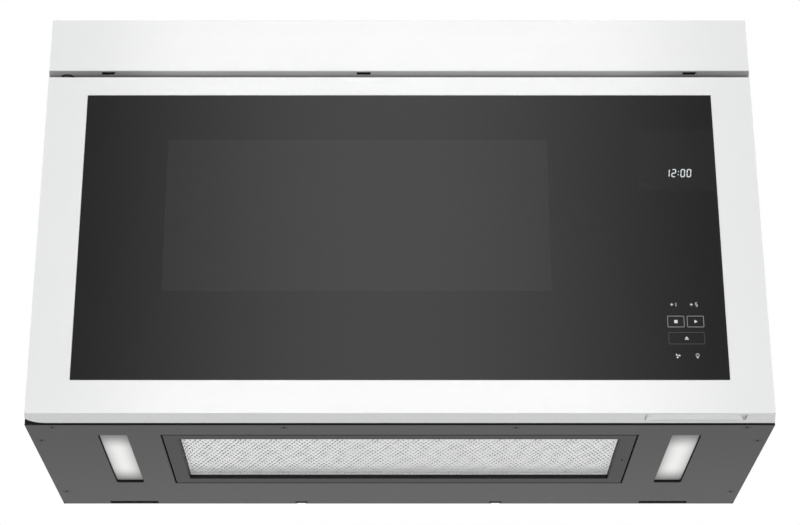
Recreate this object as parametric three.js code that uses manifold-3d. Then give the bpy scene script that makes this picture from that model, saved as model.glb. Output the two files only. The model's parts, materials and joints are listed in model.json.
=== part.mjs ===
// Over-the-range microwave oven with a built-in cooker hood: a shallow case that fills the width
// of a 30 inch cabinet, a full-width side-hinged door with a pocket handle, and a grease filter
// and two lamps in its base. Millimetres, +Z up, the door faces -Y.
// The origin is at the middle of the underside of the whole oven.

import * as THREE from "three";
import { mergeVertices } from "three/addons/utils/BufferGeometryUtils.js";
import Module from "manifold-3d";

const wasm = await Module();
wasm.setup();

// ---------------------------------------------------------------- driving dimensions

// Fits and stock
const SEAT = 0.3; // gap between a piece and what it rests on or slides in
const SHEET = 1.2; // steel sheet of the case and the oven
const CUT = 2; // how far a cutter runs past the face it opens
const ROUND_SIDES = 24; // flats on a round piece
const FINE_SIDES = 30; // flats on a wheel or a large disc
const SMALL_SIDES = 12; // flats on a small pin or hub

// Case
const CASE_WIDTH = 760;
const CASE_DEPTH = 278.5; // front frame face to back panel face
const CASE_HEIGHT = 450;
const TOP_BOLT_FROM_SIDE = 80;
const TOP_BOLT_FROM_FRONT = 45;
const TOP_BOLT_RADIUS = 4;
const TOP_NUT_RADIUS = 9;
const TOP_NUT_HEIGHT = 5;
const NOTCH_SPACING = 220; // between the middles of the two rear notches
const NOTCH_WIDTH = 12.3;
const NOTCH_DEPTH = 7.9;
const NOTCH_HEIGHT = 22;
const TAB_SLOT_FROM_SIDE = 53.7; // wall-plate slots
const TAB_SLOT_WIDTH = 54;
const TAB_SLOT_DEPTH = 8;
const TAB_SLOT_FROM_REAR = 2.3;
const LOUVRE_COUNT = 6;
const LOUVRE_PITCH = 14;
const LOUVRE_LENGTH = 70;
const LOUVRE_HEIGHT = 4.5;
const LOUVRE_FROM_SIDE = 55;
const LOUVRE_LOW = 110;

// Door
const DOOR_SIDE_STEP = 5.3; // door front face inside the case's side
const DOOR_THICKNESS = 30.8;
const DOOR_FLARE = 4.2; // each side is this much wider at the rear
const DOOR_LIFT = 1; // door underside above the case underside
const DOOR_GAP = 3.8; // door rear to front frame
const DOOR_WALL = 2.5;
const EDGE_RADIUS = 1.5;
const HINGE_FROM_SIDE = 18;
const HINGE_FROM_FRONT = 14.2;
const GLASS_FROM_SIDE = 43.3;
const GLASS_FROM_BOTTOM = 35.2;
const GLASS_FROM_TOP = 21.7;
const GLASS_THICKNESS = 3.2;
const GLASS_LEDGE = 8; // how far the frame reaches in behind the glass
const LEDGE_THICKNESS = 2;
const WINDOW_FROM_SIDE = 30.25; // oven wall to window
const WINDOW_FROM_END = 32.5; // oven floor or roof to window
const WINDOW_RIM = 12; // choke rim beyond the oven mouth
const CHOKE_GAP = 0.6; // choke rim to front frame
const SCREEN_THICKNESS = 0.8;
const SCREEN_OVERLAP = 5;

// Pocket handle in the door's underside
const POCKET_WIDTH = 102;
const POCKET_FROM_SIDE = 26.8;
const POCKET_DEPTH = 19.5;
const POCKET_HEIGHT = 22;
const POCKET_TOP_DEPTH = 7; // the rear wall leans forward, so the pocket narrows upwards
const POCKET_FRONT_WALL = 5;
const POCKET_WALL = 2;

// Display and touch keys behind the glass
const DISPLAY_WIDTH = 66;
const DISPLAY_HEIGHT = 66;
const DISPLAY_THICKNESS = 11;
const DISPLAY_FROM_SIDE = 54;
const DISPLAY_FROM_TOP = 65.5; // below the door's top
const KEYS_WIDTH = 52;
const KEYS_HEIGHT = 78;
const KEYS_THICKNESS = 3;
const KEYS_FROM_SIDE = 59;
const KEYS_LOW = 47;
const SOCKET_DEPTH = 4; // plug socket on the back of either
const SOCKET_HEIGHT = 12;
const SOCKET_INSET = 8;

// Door hinges
const PIN_RADIUS = 4;
const BUSH_RADIUS = 7;
const PIN_INSET = 12; // length of the upper pin inside the door
const BUSH_DROP = 0.5; // upper bush below the top panel's underside
const BRACKET_THICKNESS = 2.5;
const BRACKET_HALF_WIDTH = 7;
const BRACKET_LEG = 36;
const LOWER_ARM_LIFT = 11; // lower hinge arm above the case underside
const LOWER_PIN_LENGTH = 13;
const LOWER_SLOT_GAP = 1.2; // room round the arm in the door's corner slot
const DOOR_OVERSWING = Math.PI / 18; // how far the door opens past a right angle
const HINGE_LIP = 6; // door's rear lip past the hinge axis

// Latch
const LATCH_FROM_SIDE = 22;
const LOWER_HOOK_Z = 130;
const UPPER_HOOK_FROM_TOP = 69.5; // below the door's top
const LATCH_LIFT = 3.5;
const HOOK_HALF_WIDTH = 3;
const HOOK_HALF_HEIGHT = 4;
const HOOK_REACH = 15; // hook tip behind the front frame's face
const BARB_DROP = 3.5;
const BARB_LENGTH = 6;
const HOOK_ROOM = 1; // room round a hook in its slot
const HOOK_SIDE_ROOM = 3;
const BAR_HALF_WIDTH = 7;
const BAR_THICKNESS = 4;
const BAR_FROM_REAR = 11; // latch bar's rear face to the door's rear
const BAR_END = 16; // bar beyond each hook
const GUIDE_HEIGHT = 18;
const SPRING_RADIUS = 3;
const SPRING_LENGTH = 20;

// Interlock switches
const SWITCH_WIDTH = 10.3;
const SWITCH_DEPTH = 16;
const SWITCH_HEIGHT = 28;
const PLUNGER_SIZE = 3;
const PLUNGER_REACH = 2;
const PLUNGER_INSIDE = 4;
const PLUNGER_TRAVEL = 1;
const INTERLOCK_HALF_WIDTH = 14;
const INTERLOCK_WALL = 2.5;
const INTERLOCK_END = 30; // bracket beyond each hook

// Top panel
const PANEL_HEIGHT = 62.2;
const PANEL_GAP = 7.5; // door top to panel underside
const PANEL_STEP = 0.8; // panel top below case top
const PANEL_WALL = 2.5;
const CLIP_SLOT_WIDTH = 15;
const CLIP_SLOT_DEPTH = 6.3;
const CLIP_SLOT_FROM_FRONT = 2.4;
const CLIP_SLOT_FROM_SIDE = 63.3;
const MIDDLE_CLIP_OFFSET = -38;
const PANEL_VENT_COUNT = 10;
const PANEL_VENT_PITCH = 48;
const PANEL_VENT_LENGTH = 38;
const PANEL_VENT_WIDTH = 7;
const PANEL_VENT_FROM_REAR = 11;
const CHARCOAL_WIDTH = 300;
const CHARCOAL_HEIGHT = 42;
const CHARCOAL_DEPTH = 12;
const CHARCOAL_FROM_TOP = 12;
const CHARCOAL_BORDER = 4;

// Oven cavity
const DUCT_BAY_WIDTH = 106; // left of the oven, from the case's side
const COMPONENT_BAY_WIDTH = 194; // right of the oven
const CAVITY_FROM_DOOR_TOP = 42.5;
const CAVITY_FROM_REAR = 32;
const CAVITY_FLOOR = 100; // top of the ceramic floor above the case underside
const CERAMIC_THICKNESS = 5;
const LEDGE_WIDTH = 10;
const WELL_DEPTH = 15;
const LAMP_HOLE_RADIUS = 12;
const LAMP_BULB_RADIUS = 8.5;
const LAMP_FROM_FRONT = 60;
const LAMP_FROM_TOP = 30;

// Microwave feed
const WAVEGUIDE_HEIGHT = 30;
const WAVEGUIDE_WIDTH = 90;
const WAVEGUIDE_PAST_ANTENNA = 55;
const FEED_HOLE_RADIUS = 12;
const ANTENNA_RADIUS = 85;
const ANTENNA_THICKNESS = 1.2;
const ANTENNA_SHAFT_RADIUS = 3;
const ANTENNA_RISE = 5; // blade above the well's floor
const ANTENNA_SLOT_COUNT = 3;
const ANTENNA_SLOT_LENGTH = 48;
const ANTENNA_SLOT_WIDTH = 14;
const ANTENNA_SLOT_FROM_MIDDLE = 46;
const ANTENNA_MOTOR_RADIUS = 25;
const ANTENNA_MOTOR_HEIGHT = 20;
const ANTENNA_MOTOR_EAR = 34;
const ANTENNA_SHAFT_INSIDE = 12;
const MAGNETRON_WIDTH = 92;
const MAGNETRON_DEPTH = 80;
const MAGNETRON_HEIGHT = 86;
const MAGNETRON_FROM_CAVITY = 30;
const MAGNETRON_WALL = 2;
const FILTER_BOX_HEIGHT = 24;
const ANODE_RADIUS = 20;
const FIN_COUNT = 5;
const FIN_THICKNESS = 1;
const DOME_RADIUS = 8;
const DOME_LENGTH = 24;

// Component bay
const SHELF_Z = 196;
const SHELF_FROM_FRONT = 46;
const SHELF_FROM_REAR = 32.5;
const SHELF_HEM = 12;
const TRANSFORMER_WIDTH = 88;
const TRANSFORMER_DEPTH = 56;
const TRANSFORMER_HEIGHT = 74;
const TRANSFORMER_COIL = 14; // coil beyond each face of the core
const TRANSFORMER_WINDOW = 16;
const TRANSFORMER_FROM_REAR = 8; // along the shelf
const TRANSFORMER_FROM_CAVITY = 12;
const CAPACITOR_LENGTH = 95;
const CAPACITOR_WIDTH = 50;
const CAPACITOR_HEIGHT = 32;
const CAPACITOR_FROM_FRONT = 8;
const CAPACITOR_TERMINAL = 6;
const DIODE_RADIUS = 4;
const DIODE_LENGTH = 22;
const DIODE_TAIL = 16;
const BOARD_WIDTH = 150;
const BOARD_HEIGHT = 110;
const BOARD_THICKNESS = 1.6;
const BOARD_FROM_TOP = 44;
const BOARD_PART_DEPTH = 26; // tallest part on it
const BOARD_FROM_SIDE = 14;
const BOARD_STANDOFF = 8;
const STANDOFF_RADIUS = 3;
const STANDOFF_INSET = 10;

// Magnetron cooling fan
const FAN_SIZE = 92;
const FAN_DEPTH = 25;
const FAN_WALL = 3;
const FAN_HUB_RADIUS = 18;
const FAN_TIP_GAP = 2;
const FAN_BLADES = 5;
const FAN_BLADE_PITCH = Math.PI / 5;
const FAN_SPOKE = 5;
const FAN_FROM_MAGNETRON = 30;
const FAN_PIN_RADIUS = 3;
const FAN_FOOT = 8;

// Hood blower
const BLOWER_RADIUS = 50;
const BLOWER_HOUSING_WIDTH = 90;
const BLOWER_SPACING = 35; // each housing's inner face from the middle
const BLOWER_INSET = 2; // shaft behind the front edge of the exhaust opening
const BLOWER_OUTLET_SPREAD = 22;
const BLOWER_FLANGE = 12; // flange beyond the exhaust opening, under the case's top
const WHEEL_RADIUS = 40;
const WHEEL_LENGTH = 76;
const WHEEL_BLADES = 12;
const BLADE_DEPTH = 7;
const BLADE_THICKNESS = 1.4;
const WHEEL_HUB_RADIUS = 9;
const SHAFT_RADIUS = 4;
const BLOWER_MOTOR_RADIUS = 38;
const INLET_RADIUS = 33;

// Exhaust outlet
const EXHAUST_WIDTH = 254;
const EXHAUST_DEPTH = 80;
const EXHAUST_FROM_REAR = 14;
const EXHAUST_FLANGE = 12;
const COLLAR_WALL = 2;
const COLLAR_HEIGHT = 18;
const FLAP_THICKNESS = 1.2;
const FLAP_GAP = 1.5;
const FLAP_PIVOT_FROM_REAR = 8;
const FLAP_PIVOT_RADIUS = 2;
const FLAP_LIFT = 7; // flap above the case's top
const FLAP_STOP = 3;

// Hood air duct, beside the oven
const DUCT_FROM_FRONT = 60;
const DUCT_FROM_REAR = 28.5;
const DUCT_LOW = 32;
const DUCT_PAST_CAVITY = 5; // above the oven's roof

// Supply cord's gland
const GLAND_FROM_SIDE = 60;
const GLAND_FROM_REAR = 40;
const GLAND_RADIUS = 14;
const GLAND_NECK_RADIUS = 11;
const GLAND_BORE_RADIUS = 5;
const GLAND_CAP = 6;
const GLAND_NECK = 12;

// Countersunk screws that hold the base plate: from the case's side and from its front
const BASE_SCREW_PLACES = [
  [27.2, 6.8],
  [9.8, 49],
  [9.7, 230.4],
  [262.3, 7.6],
];
const BASE_SCREW_RADIUS = 2;
const BASE_SCREW_HEAD_RADIUS = 4;

// Grease filter in the base
const FILTER_FROM_SIDE = 136.1;
const FILTER_FROM_FRONT = 33;
const FILTER_FROM_REAR = 80.5;
const FILTER_GAP = 1.5; // groove between the filter's frame and the base plate
const FILTER_BORDER_SIDE = 15.9;
const FILTER_BORDER_FRONT = 13;
const FILTER_BORDER_REAR = 15.5;
const FILTER_TRAY_HEIGHT = 12;
const FILTER_TRAY_WALL = 1.5;
const MESH_LIFT = 4.4; // mesh above the case underside
const MESH_THICKNESS = 3;
const MESH_COLUMNS = 17;
const MESH_ROWS = 5;
const MESH_STRAND = 3.4;
const MESH_EDGE = 4;
const FILTER_SCREW_FROM_EDGE = 7.3;
const FILTER_SCREW_RADIUS = 2;
const FILTER_SCREW_HEAD_RADIUS = 4;
const FILTER_SCREW_TAB = 11; // half the length of the tab that the screw goes into
const FILTER_SCREW_ROOM = 0.6;

// Lamps in the base
const LIGHT_WIDTH = 30;
const LIGHT_FROM_SIDE = 70; // outer edge of the lamp opening
const LIGHT_FROM_FRONT = 32;
const LIGHT_FROM_REAR = 81.5;
const LIGHT_CORNER = 3;
const LENS_THICKNESS = 2.5;
const LENS_OVERLAP = 1.2;
const LIGHT_HOUSING_HEIGHT = 20;
const LIGHT_HOUSING_WALL = 1.5;
const LIGHT_BOARD_THICKNESS = 1.6;
const LIGHT_LED_COUNT = 6;
const LIGHT_LED_SIZE = 6;
const LIGHT_LED_HEIGHT = 1.5;

// ---------------------------------------------------------------- places worked out from them

const CASE_HALF = CASE_WIDTH / 2;
const CASE_INSIDE = CASE_HALF - SHEET - SEAT;
const BASE_TOP = SHEET + SEAT; // what stands on the base plate starts here
const FRAME_REAR = SHEET + SEAT; // what lies against the front frame starts here
const REAR_INSIDE = CASE_DEPTH - SHEET - SEAT;
const TOP_INSIDE = CASE_HEIGHT - SHEET - SEAT;
const TAB_SLOT_X = CASE_HALF - TAB_SLOT_FROM_SIDE - TAB_SLOT_WIDTH / 2;

const PANEL_HIGH = CASE_HEIGHT - PANEL_STEP;
const PANEL_LOW = PANEL_HIGH - PANEL_HEIGHT;
const PANEL_DEPTH = DOOR_GAP + DOOR_THICKNESS - SEAT;
const DOOR_WIDTH = CASE_WIDTH - 2 * DOOR_SIDE_STEP; // across its front face
const DOOR_TOP = PANEL_LOW - PANEL_GAP;
const DOOR_HEIGHT = DOOR_TOP - DOOR_LIFT;
const DOOR_FRONT_Y = -DOOR_GAP - DOOR_THICKNESS;
const DOOR_HALF = DOOR_WIDTH / 2;
const HINGE_X = HINGE_FROM_SIDE - DOOR_HALF;
const HINGE_Y = HINGE_FROM_FRONT + DOOR_FRONT_Y;
const GLASS_HALF = DOOR_HALF - GLASS_FROM_SIDE;
const GLASS_LOW = GLASS_FROM_BOTTOM;
const GLASS_HIGH = DOOR_HEIGHT - GLASS_FROM_TOP;
const LATCH_X = DOOR_HALF - LATCH_FROM_SIDE;
const UPPER_HOOK_Z = DOOR_TOP - UPPER_HOOK_FROM_TOP;

const CAVITY_LEFT = DUCT_BAY_WIDTH - CASE_HALF;
const CAVITY_RIGHT = CASE_HALF - COMPONENT_BAY_WIDTH;
const CAVITY_MIDDLE_X = (CAVITY_LEFT + CAVITY_RIGHT) / 2;
const CAVITY_TOP = DOOR_TOP - CAVITY_FROM_DOOR_TOP;
const CAVITY_REAR = CASE_DEPTH - CAVITY_FROM_REAR;
const CAVITY_LEDGE = CAVITY_FLOOR - CERAMIC_THICKNESS - SEAT;
const WELL_FLOOR = CAVITY_LEDGE - WELL_DEPTH;
const WAVEGUIDE_TOP = WELL_FLOOR - SHEET - SEAT;
const WAVEGUIDE_LOW = WAVEGUIDE_TOP - WAVEGUIDE_HEIGHT;
const FEED_Y = (FRAME_REAR + CAVITY_REAR) / 2;
const MAGNETRON_X = CAVITY_RIGHT + MAGNETRON_FROM_CAVITY + MAGNETRON_WIDTH / 2;
const MAGNETRON_LOW = WAVEGUIDE_TOP + SEAT;
const BAY_LEFT = CAVITY_RIGHT + SHEET + SEAT;
const SHELF_TOP = SHELF_Z + SHEET;
const BOARD_LOW = CASE_HEIGHT - BOARD_FROM_TOP - BOARD_HEIGHT;

const EXHAUST_REAR = CASE_DEPTH - EXHAUST_FROM_REAR;
const EXHAUST_FRONT = EXHAUST_REAR - EXHAUST_DEPTH;
const BLOWER_Z = (CAVITY_TOP + SHEET + TOP_INSIDE) / 2;
const FLAP_Z = CASE_HEIGHT + FLAP_LIFT;
const CHARCOAL_HIGH = CASE_HEIGHT - CHARCOAL_FROM_TOP;
const CHARCOAL_LOW = CHARCOAL_HIGH - CHARCOAL_HEIGHT;

const FILTER_REAR = CASE_DEPTH - FILTER_FROM_REAR;
const FILTER_MIDDLE_Y = (FILTER_FROM_FRONT + FILTER_REAR) / 2;

// ---------------------------------------------------------------- shape helpers

// A closed geometry as a solid that can be joined and cut.
function solidOf(geometry) {
  const bare = geometry.clone();
  bare.deleteAttribute("normal");
  bare.deleteAttribute("uv");
  const merged = mergeVertices(bare, 1e-4);
  const triVerts = new Uint32Array(merged.index.array);
  const vertProperties = merged.attributes.position.array;
  return new wasm.Manifold(new wasm.Mesh({ numProp: 3, vertProperties, triVerts }));
}

// A box between two limits along each axis.
function block([x0, x1], [y0, y1], [z0, z1]) {
  const geometry = new THREE.BoxGeometry(x1 - x0, y1 - y0, z1 - z0);
  geometry.translate((x0 + x1) / 2, (y0 + y1) / 2, (z0 + z1) / 2);
  return solidOf(geometry);
}

// A box centred on a point in two axes, between two limits along Y.
function bar(x, halfX, [y0, y1], z, halfZ) {
  return block([x - halfX, x + halfX], [y0, y1], [z - halfZ, z + halfZ]);
}

// A cylinder along an axis, from low to high, whose middle line passes through (a, b).
// For "x" these are y and z, for "y" x and z, for "z" x and y.
function rod(axis, radius, [low, high], [a, b], sides = ROUND_SIDES) {
  const geometry = new THREE.CylinderGeometry(radius, radius, high - low, sides);
  const middle = (low + high) / 2;
  if (axis === "x") {
    geometry.rotateZ(-Math.PI / 2);
    geometry.translate(middle, a, b);
  } else if (axis === "y") {
    geometry.translate(a, middle, b);
  } else {
    geometry.rotateX(Math.PI / 2);
    geometry.translate(a, b, middle);
  }
  return solidOf(geometry);
}

// An outline in X and Y, drawn up from low to high.
function upright(shape, [low, high], curveSegments = 8) {
  const options = { depth: high - low, bevelEnabled: false, curveSegments };
  const geometry = new THREE.ExtrudeGeometry(shape, options);
  geometry.translate(0, 0, low);
  return solidOf(geometry);
}

// An outline in Y and Z, drawn along X from low to high.
function sideways(shape, [low, high], curveSegments = 8) {
  const options = { depth: high - low, bevelEnabled: false, curveSegments };
  const geometry = new THREE.ExtrudeGeometry(shape, options);
  const turn = new THREE.Matrix4().set(0, 0, 1, low, 1, 0, 0, 0, 0, 1, 0, 0, 0, 0, 0, 1);
  geometry.applyMatrix4(turn);
  return solidOf(geometry);
}

function roundedRectangle([x0, x1], [y0, y1], radius) {
  const shape = new THREE.Shape();
  shape.moveTo(x0 + radius, y0);
  shape.lineTo(x1 - radius, y0);
  shape.absarc(x1 - radius, y0 + radius, radius, -Math.PI / 2, 0);
  shape.lineTo(x1, y1 - radius);
  shape.absarc(x1 - radius, y1 - radius, radius, 0, Math.PI / 2);
  shape.lineTo(x0 + radius, y1);
  shape.absarc(x0 + radius, y1 - radius, radius, Math.PI / 2, Math.PI);
  shape.lineTo(x0, y0 + radius);
  shape.absarc(x0 + radius, y0 + radius, radius, Math.PI, 1.5 * Math.PI);
  return shape;
}

// A limit pair made larger on both sides, or smaller where the amount is negative.
function grown([low, high], amount) {
  return [low - amount, high + amount];
}

function spanAt(middle, width) {
  return [middle - width / 2, middle + width / 2];
}

function finish(color, roughness, metalness, opacity = 1) {
  return new THREE.MeshStandardMaterial({
    color,
    roughness,
    metalness,
    opacity,
    transparent: opacity < 1,
    flatShading: true,
  });
}

// Adds a named mesh of a solid to a group.
function piece(group, name, solid, material) {
  const { vertProperties, triVerts } = solid.getMesh();
  const geometry = new THREE.BufferGeometry();
  geometry.setAttribute("position", new THREE.BufferAttribute(vertProperties, 3));
  geometry.setIndex(new THREE.BufferAttribute(triVerts, 1));
  geometry.computeVertexNormals();
  const mesh = new THREE.Mesh(geometry, material);
  mesh.name = name;
  group.add(mesh);
  return mesh;
}

function groupAt(parent, x, y, z) {
  const group = new THREE.Group();
  group.position.set(x, y, z);
  parent.add(group);
  return group;
}

// ---------------------------------------------------------------- finishes

const whitePaint = () => finish(0xf2f2f0, 0.35, 0.1);
const blackPaint = () => finish(0x1a1a1c, 0.55, 0.2);
const greyPaint = () => finish(0x62636a, 0.6, 0.35);
const galvanised = () => finish(0xa9adb0, 0.45, 0.85);
const enamel = () => finish(0xb9bbbc, 0.4, 0.2);
const steel = () => finish(0x9a9c9f, 0.4, 0.9);
const aluminium = () => finish(0xc9cccd, 0.35, 0.9);
const copper = () => finish(0xb06a3a, 0.4, 0.8);
const blackPlastic = () => finish(0x202124, 0.6, 0);
const greyPlastic = () => finish(0x7d8084, 0.6, 0);
const whitePlastic = () => finish(0xe6e6e2, 0.5, 0);
const circuitBoard = () => finish(0x2d5a3a, 0.55, 0);
const darkGlass = () => finish(0x303234, 0.06, 0.1, 0.92);
const clearPane = () => finish(0xcfd6d8, 0.05, 0, 0.35);
const ceramic = () => finish(0xd9d8d2, 0.25, 0);
const glowingLens = () => finish(0xfff6e6, 0.4, 0);
const charcoal = () => finish(0x151515, 0.95, 0);

// ---------------------------------------------------------------- case

const hookHeights = [LOWER_HOOK_Z, UPPER_HOOK_Z];

function lightSpan(side) {
  const outer = side * (CASE_HALF - LIGHT_FROM_SIDE);
  const inner = outer - side * LIGHT_WIDTH;
  return [Math.min(outer, inner), Math.max(outer, inner)];
}

const lightSpanY = [LIGHT_FROM_FRONT, CASE_DEPTH - LIGHT_FROM_REAR];
const filterSpanX = [FILTER_FROM_SIDE - CASE_HALF, CASE_HALF - FILTER_FROM_SIDE];
const filterSpanY = [FILTER_FROM_FRONT, FILTER_REAR];
const screwX = filterSpanX[1] - FILTER_SCREW_FROM_EDGE;
const screwTabZ = FILTER_TRAY_HEIGHT + SHEET;

function basePlate() {
  const through = grown([0, SHEET], CUT);
  let plate = block([-CASE_HALF, CASE_HALF], [0, CASE_DEPTH], [0, SHEET]);
  const filterOpening = [grown(filterSpanX, FILTER_GAP), grown(filterSpanY, FILTER_GAP)];
  plate = plate.subtract(block(...filterOpening, through));
  for (const side of [-1, 1]) {
    const opening = roundedRectangle(lightSpan(side), lightSpanY, LIGHT_CORNER);
    const notch = spanAt((side * NOTCH_SPACING) / 2, NOTCH_WIDTH);
    const slot = spanAt(side * TAB_SLOT_X, TAB_SLOT_WIDTH);
    const slotRear = CASE_DEPTH - TAB_SLOT_FROM_REAR;
    plate = plate.subtract(upright(opening, through, 3));
    plate = plate.subtract(block(notch, [CASE_DEPTH - NOTCH_DEPTH, CASE_DEPTH + CUT], through));
    plate = plate.subtract(block(slot, [slotRear - TAB_SLOT_DEPTH, slotRear], through));
    for (const [fromSide, fromFront] of BASE_SCREW_PLACES) {
      const place = [side * (CASE_HALF - fromSide), fromFront];
      const hole = countersink(BASE_SCREW_HEAD_RADIUS, BASE_SCREW_RADIUS, place);
      plate = plate.subtract(hole);
    }
  }
  // A raised tab that the filter's screw goes into, bent up from the edge of the opening.
  const tabFoot = filterSpanX[1] + FILTER_GAP;
  const tabY = spanAt(FILTER_MIDDLE_Y, 2 * FILTER_SCREW_TAB);
  const tabRise = block([tabFoot, tabFoot + SHEET], tabY, [0, screwTabZ + SHEET]);
  const tabTop = block([screwX - FILTER_SCREW_HEAD_RADIUS, tabFoot + SHEET], tabY, [
    screwTabZ,
    screwTabZ + SHEET,
  ]);
  const hole = rod(
    "z",
    FILTER_SCREW_RADIUS + FILTER_SCREW_ROOM,
    grown([screwTabZ, screwTabZ + SHEET], CUT),
    [screwX, FILTER_MIDDLE_Y],
  );
  return plate.add(tabRise).add(tabTop.subtract(hole));
}

function frontFrame() {
  const through = grown([0, SHEET], CUT);
  let plate = block([-CASE_HALF, CASE_HALF], [0, SHEET], [BASE_TOP, CASE_HEIGHT]);
  plate = plate.subtract(block([CAVITY_LEFT, CAVITY_RIGHT], through, [CAVITY_LEDGE, CAVITY_TOP]));
  const ventX = spanAt(0, CHARCOAL_WIDTH - 2 * CHARCOAL_BORDER);
  const ventZ = grown([CHARCOAL_LOW, CHARCOAL_HIGH], -CHARCOAL_BORDER);
  plate = plate.subtract(block(ventX, through, ventZ));
  for (const z of hookHeights) {
    const slotX = [
      LATCH_X - HOOK_HALF_WIDTH - HOOK_SIDE_ROOM,
      LATCH_X + HOOK_HALF_WIDTH + HOOK_SIDE_ROOM,
    ];
    const slotZ = [
      z - HOOK_HALF_HEIGHT - HOOK_ROOM,
      z + HOOK_HALF_HEIGHT + LATCH_LIFT + HOOK_ROOM,
    ];
    plate = plate.subtract(block(slotX, through, slotZ));
  }
  for (const armZ of [LOWER_ARM_LIFT, upperArmZ]) {
    const armX = spanAt(HINGE_X, 2 * (BRACKET_HALF_WIDTH + SEAT));
    const slotZ = grown([armZ, armZ + BRACKET_THICKNESS], SEAT);
    plate = plate.subtract(block(armX, through, slotZ));
  }
  return plate;
}

const boltPlaces = [-1, 1].map((side) => [
  side * (CASE_HALF - TOP_BOLT_FROM_SIDE),
  TOP_BOLT_FROM_FRONT,
]);
const glandPlace = [CASE_HALF - GLAND_FROM_SIDE, CASE_DEPTH - GLAND_FROM_REAR];
const exhaustSpanX = spanAt(0, EXHAUST_WIDTH);
const exhaustSpanY = [EXHAUST_FRONT, EXHAUST_REAR];

function outerCase() {
  const caseY = [FRAME_REAR, REAR_INSIDE];
  const outer = block([-CASE_HALF, CASE_HALF], caseY, [BASE_TOP, CASE_HEIGHT]);
  const inner = block(
    [SHEET - CASE_HALF, CASE_HALF - SHEET],
    grown(caseY, CUT),
    [BASE_TOP - CUT, CASE_HEIGHT - SHEET],
  );
  let wrap = outer.subtract(inner);
  const through = [CASE_HEIGHT - SHEET - CUT, CASE_HEIGHT + CUT];
  wrap = wrap.subtract(block(exhaustSpanX, exhaustSpanY, through));
  wrap = wrap.subtract(rod("z", GLAND_NECK_RADIUS + SEAT, through, glandPlace));
  for (const place of boltPlaces) {
    const nutZ = [CASE_HEIGHT - SHEET - TOP_NUT_HEIGHT, CASE_HEIGHT - SHEET / 2];
    wrap = wrap.add(rod("z", TOP_NUT_RADIUS, nutZ, place, 6));
    wrap = wrap.subtract(rod("z", TOP_BOLT_RADIUS, grown(nutZ, CUT), place));
  }
  return wrap;
}

function backPanel() {
  const panelY = [CASE_DEPTH - SHEET, CASE_DEPTH];
  const through = grown(panelY, CUT);
  let panel = block([-CASE_HALF, CASE_HALF], panelY, [BASE_TOP, CASE_HEIGHT]);
  for (const side of [-1, 1]) {
    const notch = spanAt((side * NOTCH_SPACING) / 2, NOTCH_WIDTH);
    panel = panel.subtract(block(notch, through, [0, NOTCH_HEIGHT]));
  }
  const right = CASE_HALF - LOUVRE_FROM_SIDE;
  for (let row = 0; row < LOUVRE_COUNT; row += 1) {
    const low = LOUVRE_LOW + row * LOUVRE_PITCH;
    panel = panel.subtract(block([right - LOUVRE_LENGTH, right], through, [low, low + LOUVRE_HEIGHT]));
  }
  return panel;
}

// The outline seen from above of a front that widens towards its rear at y = 0.
function flaredOutline(depth) {
  const shape = new THREE.Shape();
  const sideX = (y) => DOOR_HALF + (DOOR_FLARE * (depth + y)) / depth;
  shape.moveTo(EDGE_RADIUS - DOOR_HALF, -depth);
  shape.lineTo(DOOR_HALF - EDGE_RADIUS, -depth);
  shape.quadraticCurveTo(DOOR_HALF, -depth, sideX(EDGE_RADIUS - depth), EDGE_RADIUS - depth);
  shape.lineTo(sideX(-EDGE_RADIUS), -EDGE_RADIUS);
  shape.quadraticCurveTo(sideX(0), 0, sideX(0) - EDGE_RADIUS, 0);
  return { shape, sideX };
}

function panelOutline() {
  const { shape, sideX } = flaredOutline(PANEL_DEPTH);
  shape.lineTo(EDGE_RADIUS - sideX(0), 0);
  shape.quadraticCurveTo(-sideX(0), 0, -sideX(-EDGE_RADIUS), -EDGE_RADIUS);
  shape.lineTo(-sideX(EDGE_RADIUS - PANEL_DEPTH), EDGE_RADIUS - PANEL_DEPTH);
  shape.quadraticCurveTo(-DOOR_HALF, -PANEL_DEPTH, EDGE_RADIUS - DOOR_HALF, -PANEL_DEPTH);
  return shape;
}

// The panel's own frame: y = 0 at its rear edge, z = 0 at the case underside.
const panelHingeY = HINGE_Y + SEAT;

function topPanel() {
  const height = [PANEL_LOW, PANEL_HIGH];
  let panel = upright(panelOutline(), height, 3);
  const hollow = block(
    spanAt(0, DOOR_WIDTH - 2 * PANEL_WALL),
    [PANEL_WALL - PANEL_DEPTH, CUT],
    grown(height, -PANEL_WALL),
  );
  panel = panel.subtract(hollow);
  const slotFront = CLIP_SLOT_FROM_FRONT - PANEL_DEPTH;
  const clipX = DOOR_HALF - CLIP_SLOT_FROM_SIDE;
  for (const x of [-clipX, MIDDLE_CLIP_OFFSET, clipX]) {
    panel = panel.subtract(
      block(
        spanAt(x, CLIP_SLOT_WIDTH),
        [slotFront, slotFront + CLIP_SLOT_DEPTH],
        grown([PANEL_LOW, PANEL_LOW + PANEL_WALL], CUT),
      ),
    );
  }
  for (let slot = 0; slot < PANEL_VENT_COUNT; slot += 1) {
    const x = (slot - (PANEL_VENT_COUNT - 1) / 2) * PANEL_VENT_PITCH;
    const vent = block(
      spanAt(x, PANEL_VENT_LENGTH),
      spanAt(-PANEL_VENT_FROM_REAR, PANEL_VENT_WIDTH),
      grown([PANEL_HIGH - PANEL_WALL, PANEL_HIGH], CUT),
    );
    panel = panel.subtract(vent);
  }
  const bushHole = rod(
    "z",
    BUSH_RADIUS + SEAT,
    grown([PANEL_LOW, PANEL_LOW + PANEL_WALL], CUT),
    [HINGE_X, panelHingeY],
  );
  return panel.subtract(bushHole);
}

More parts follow.
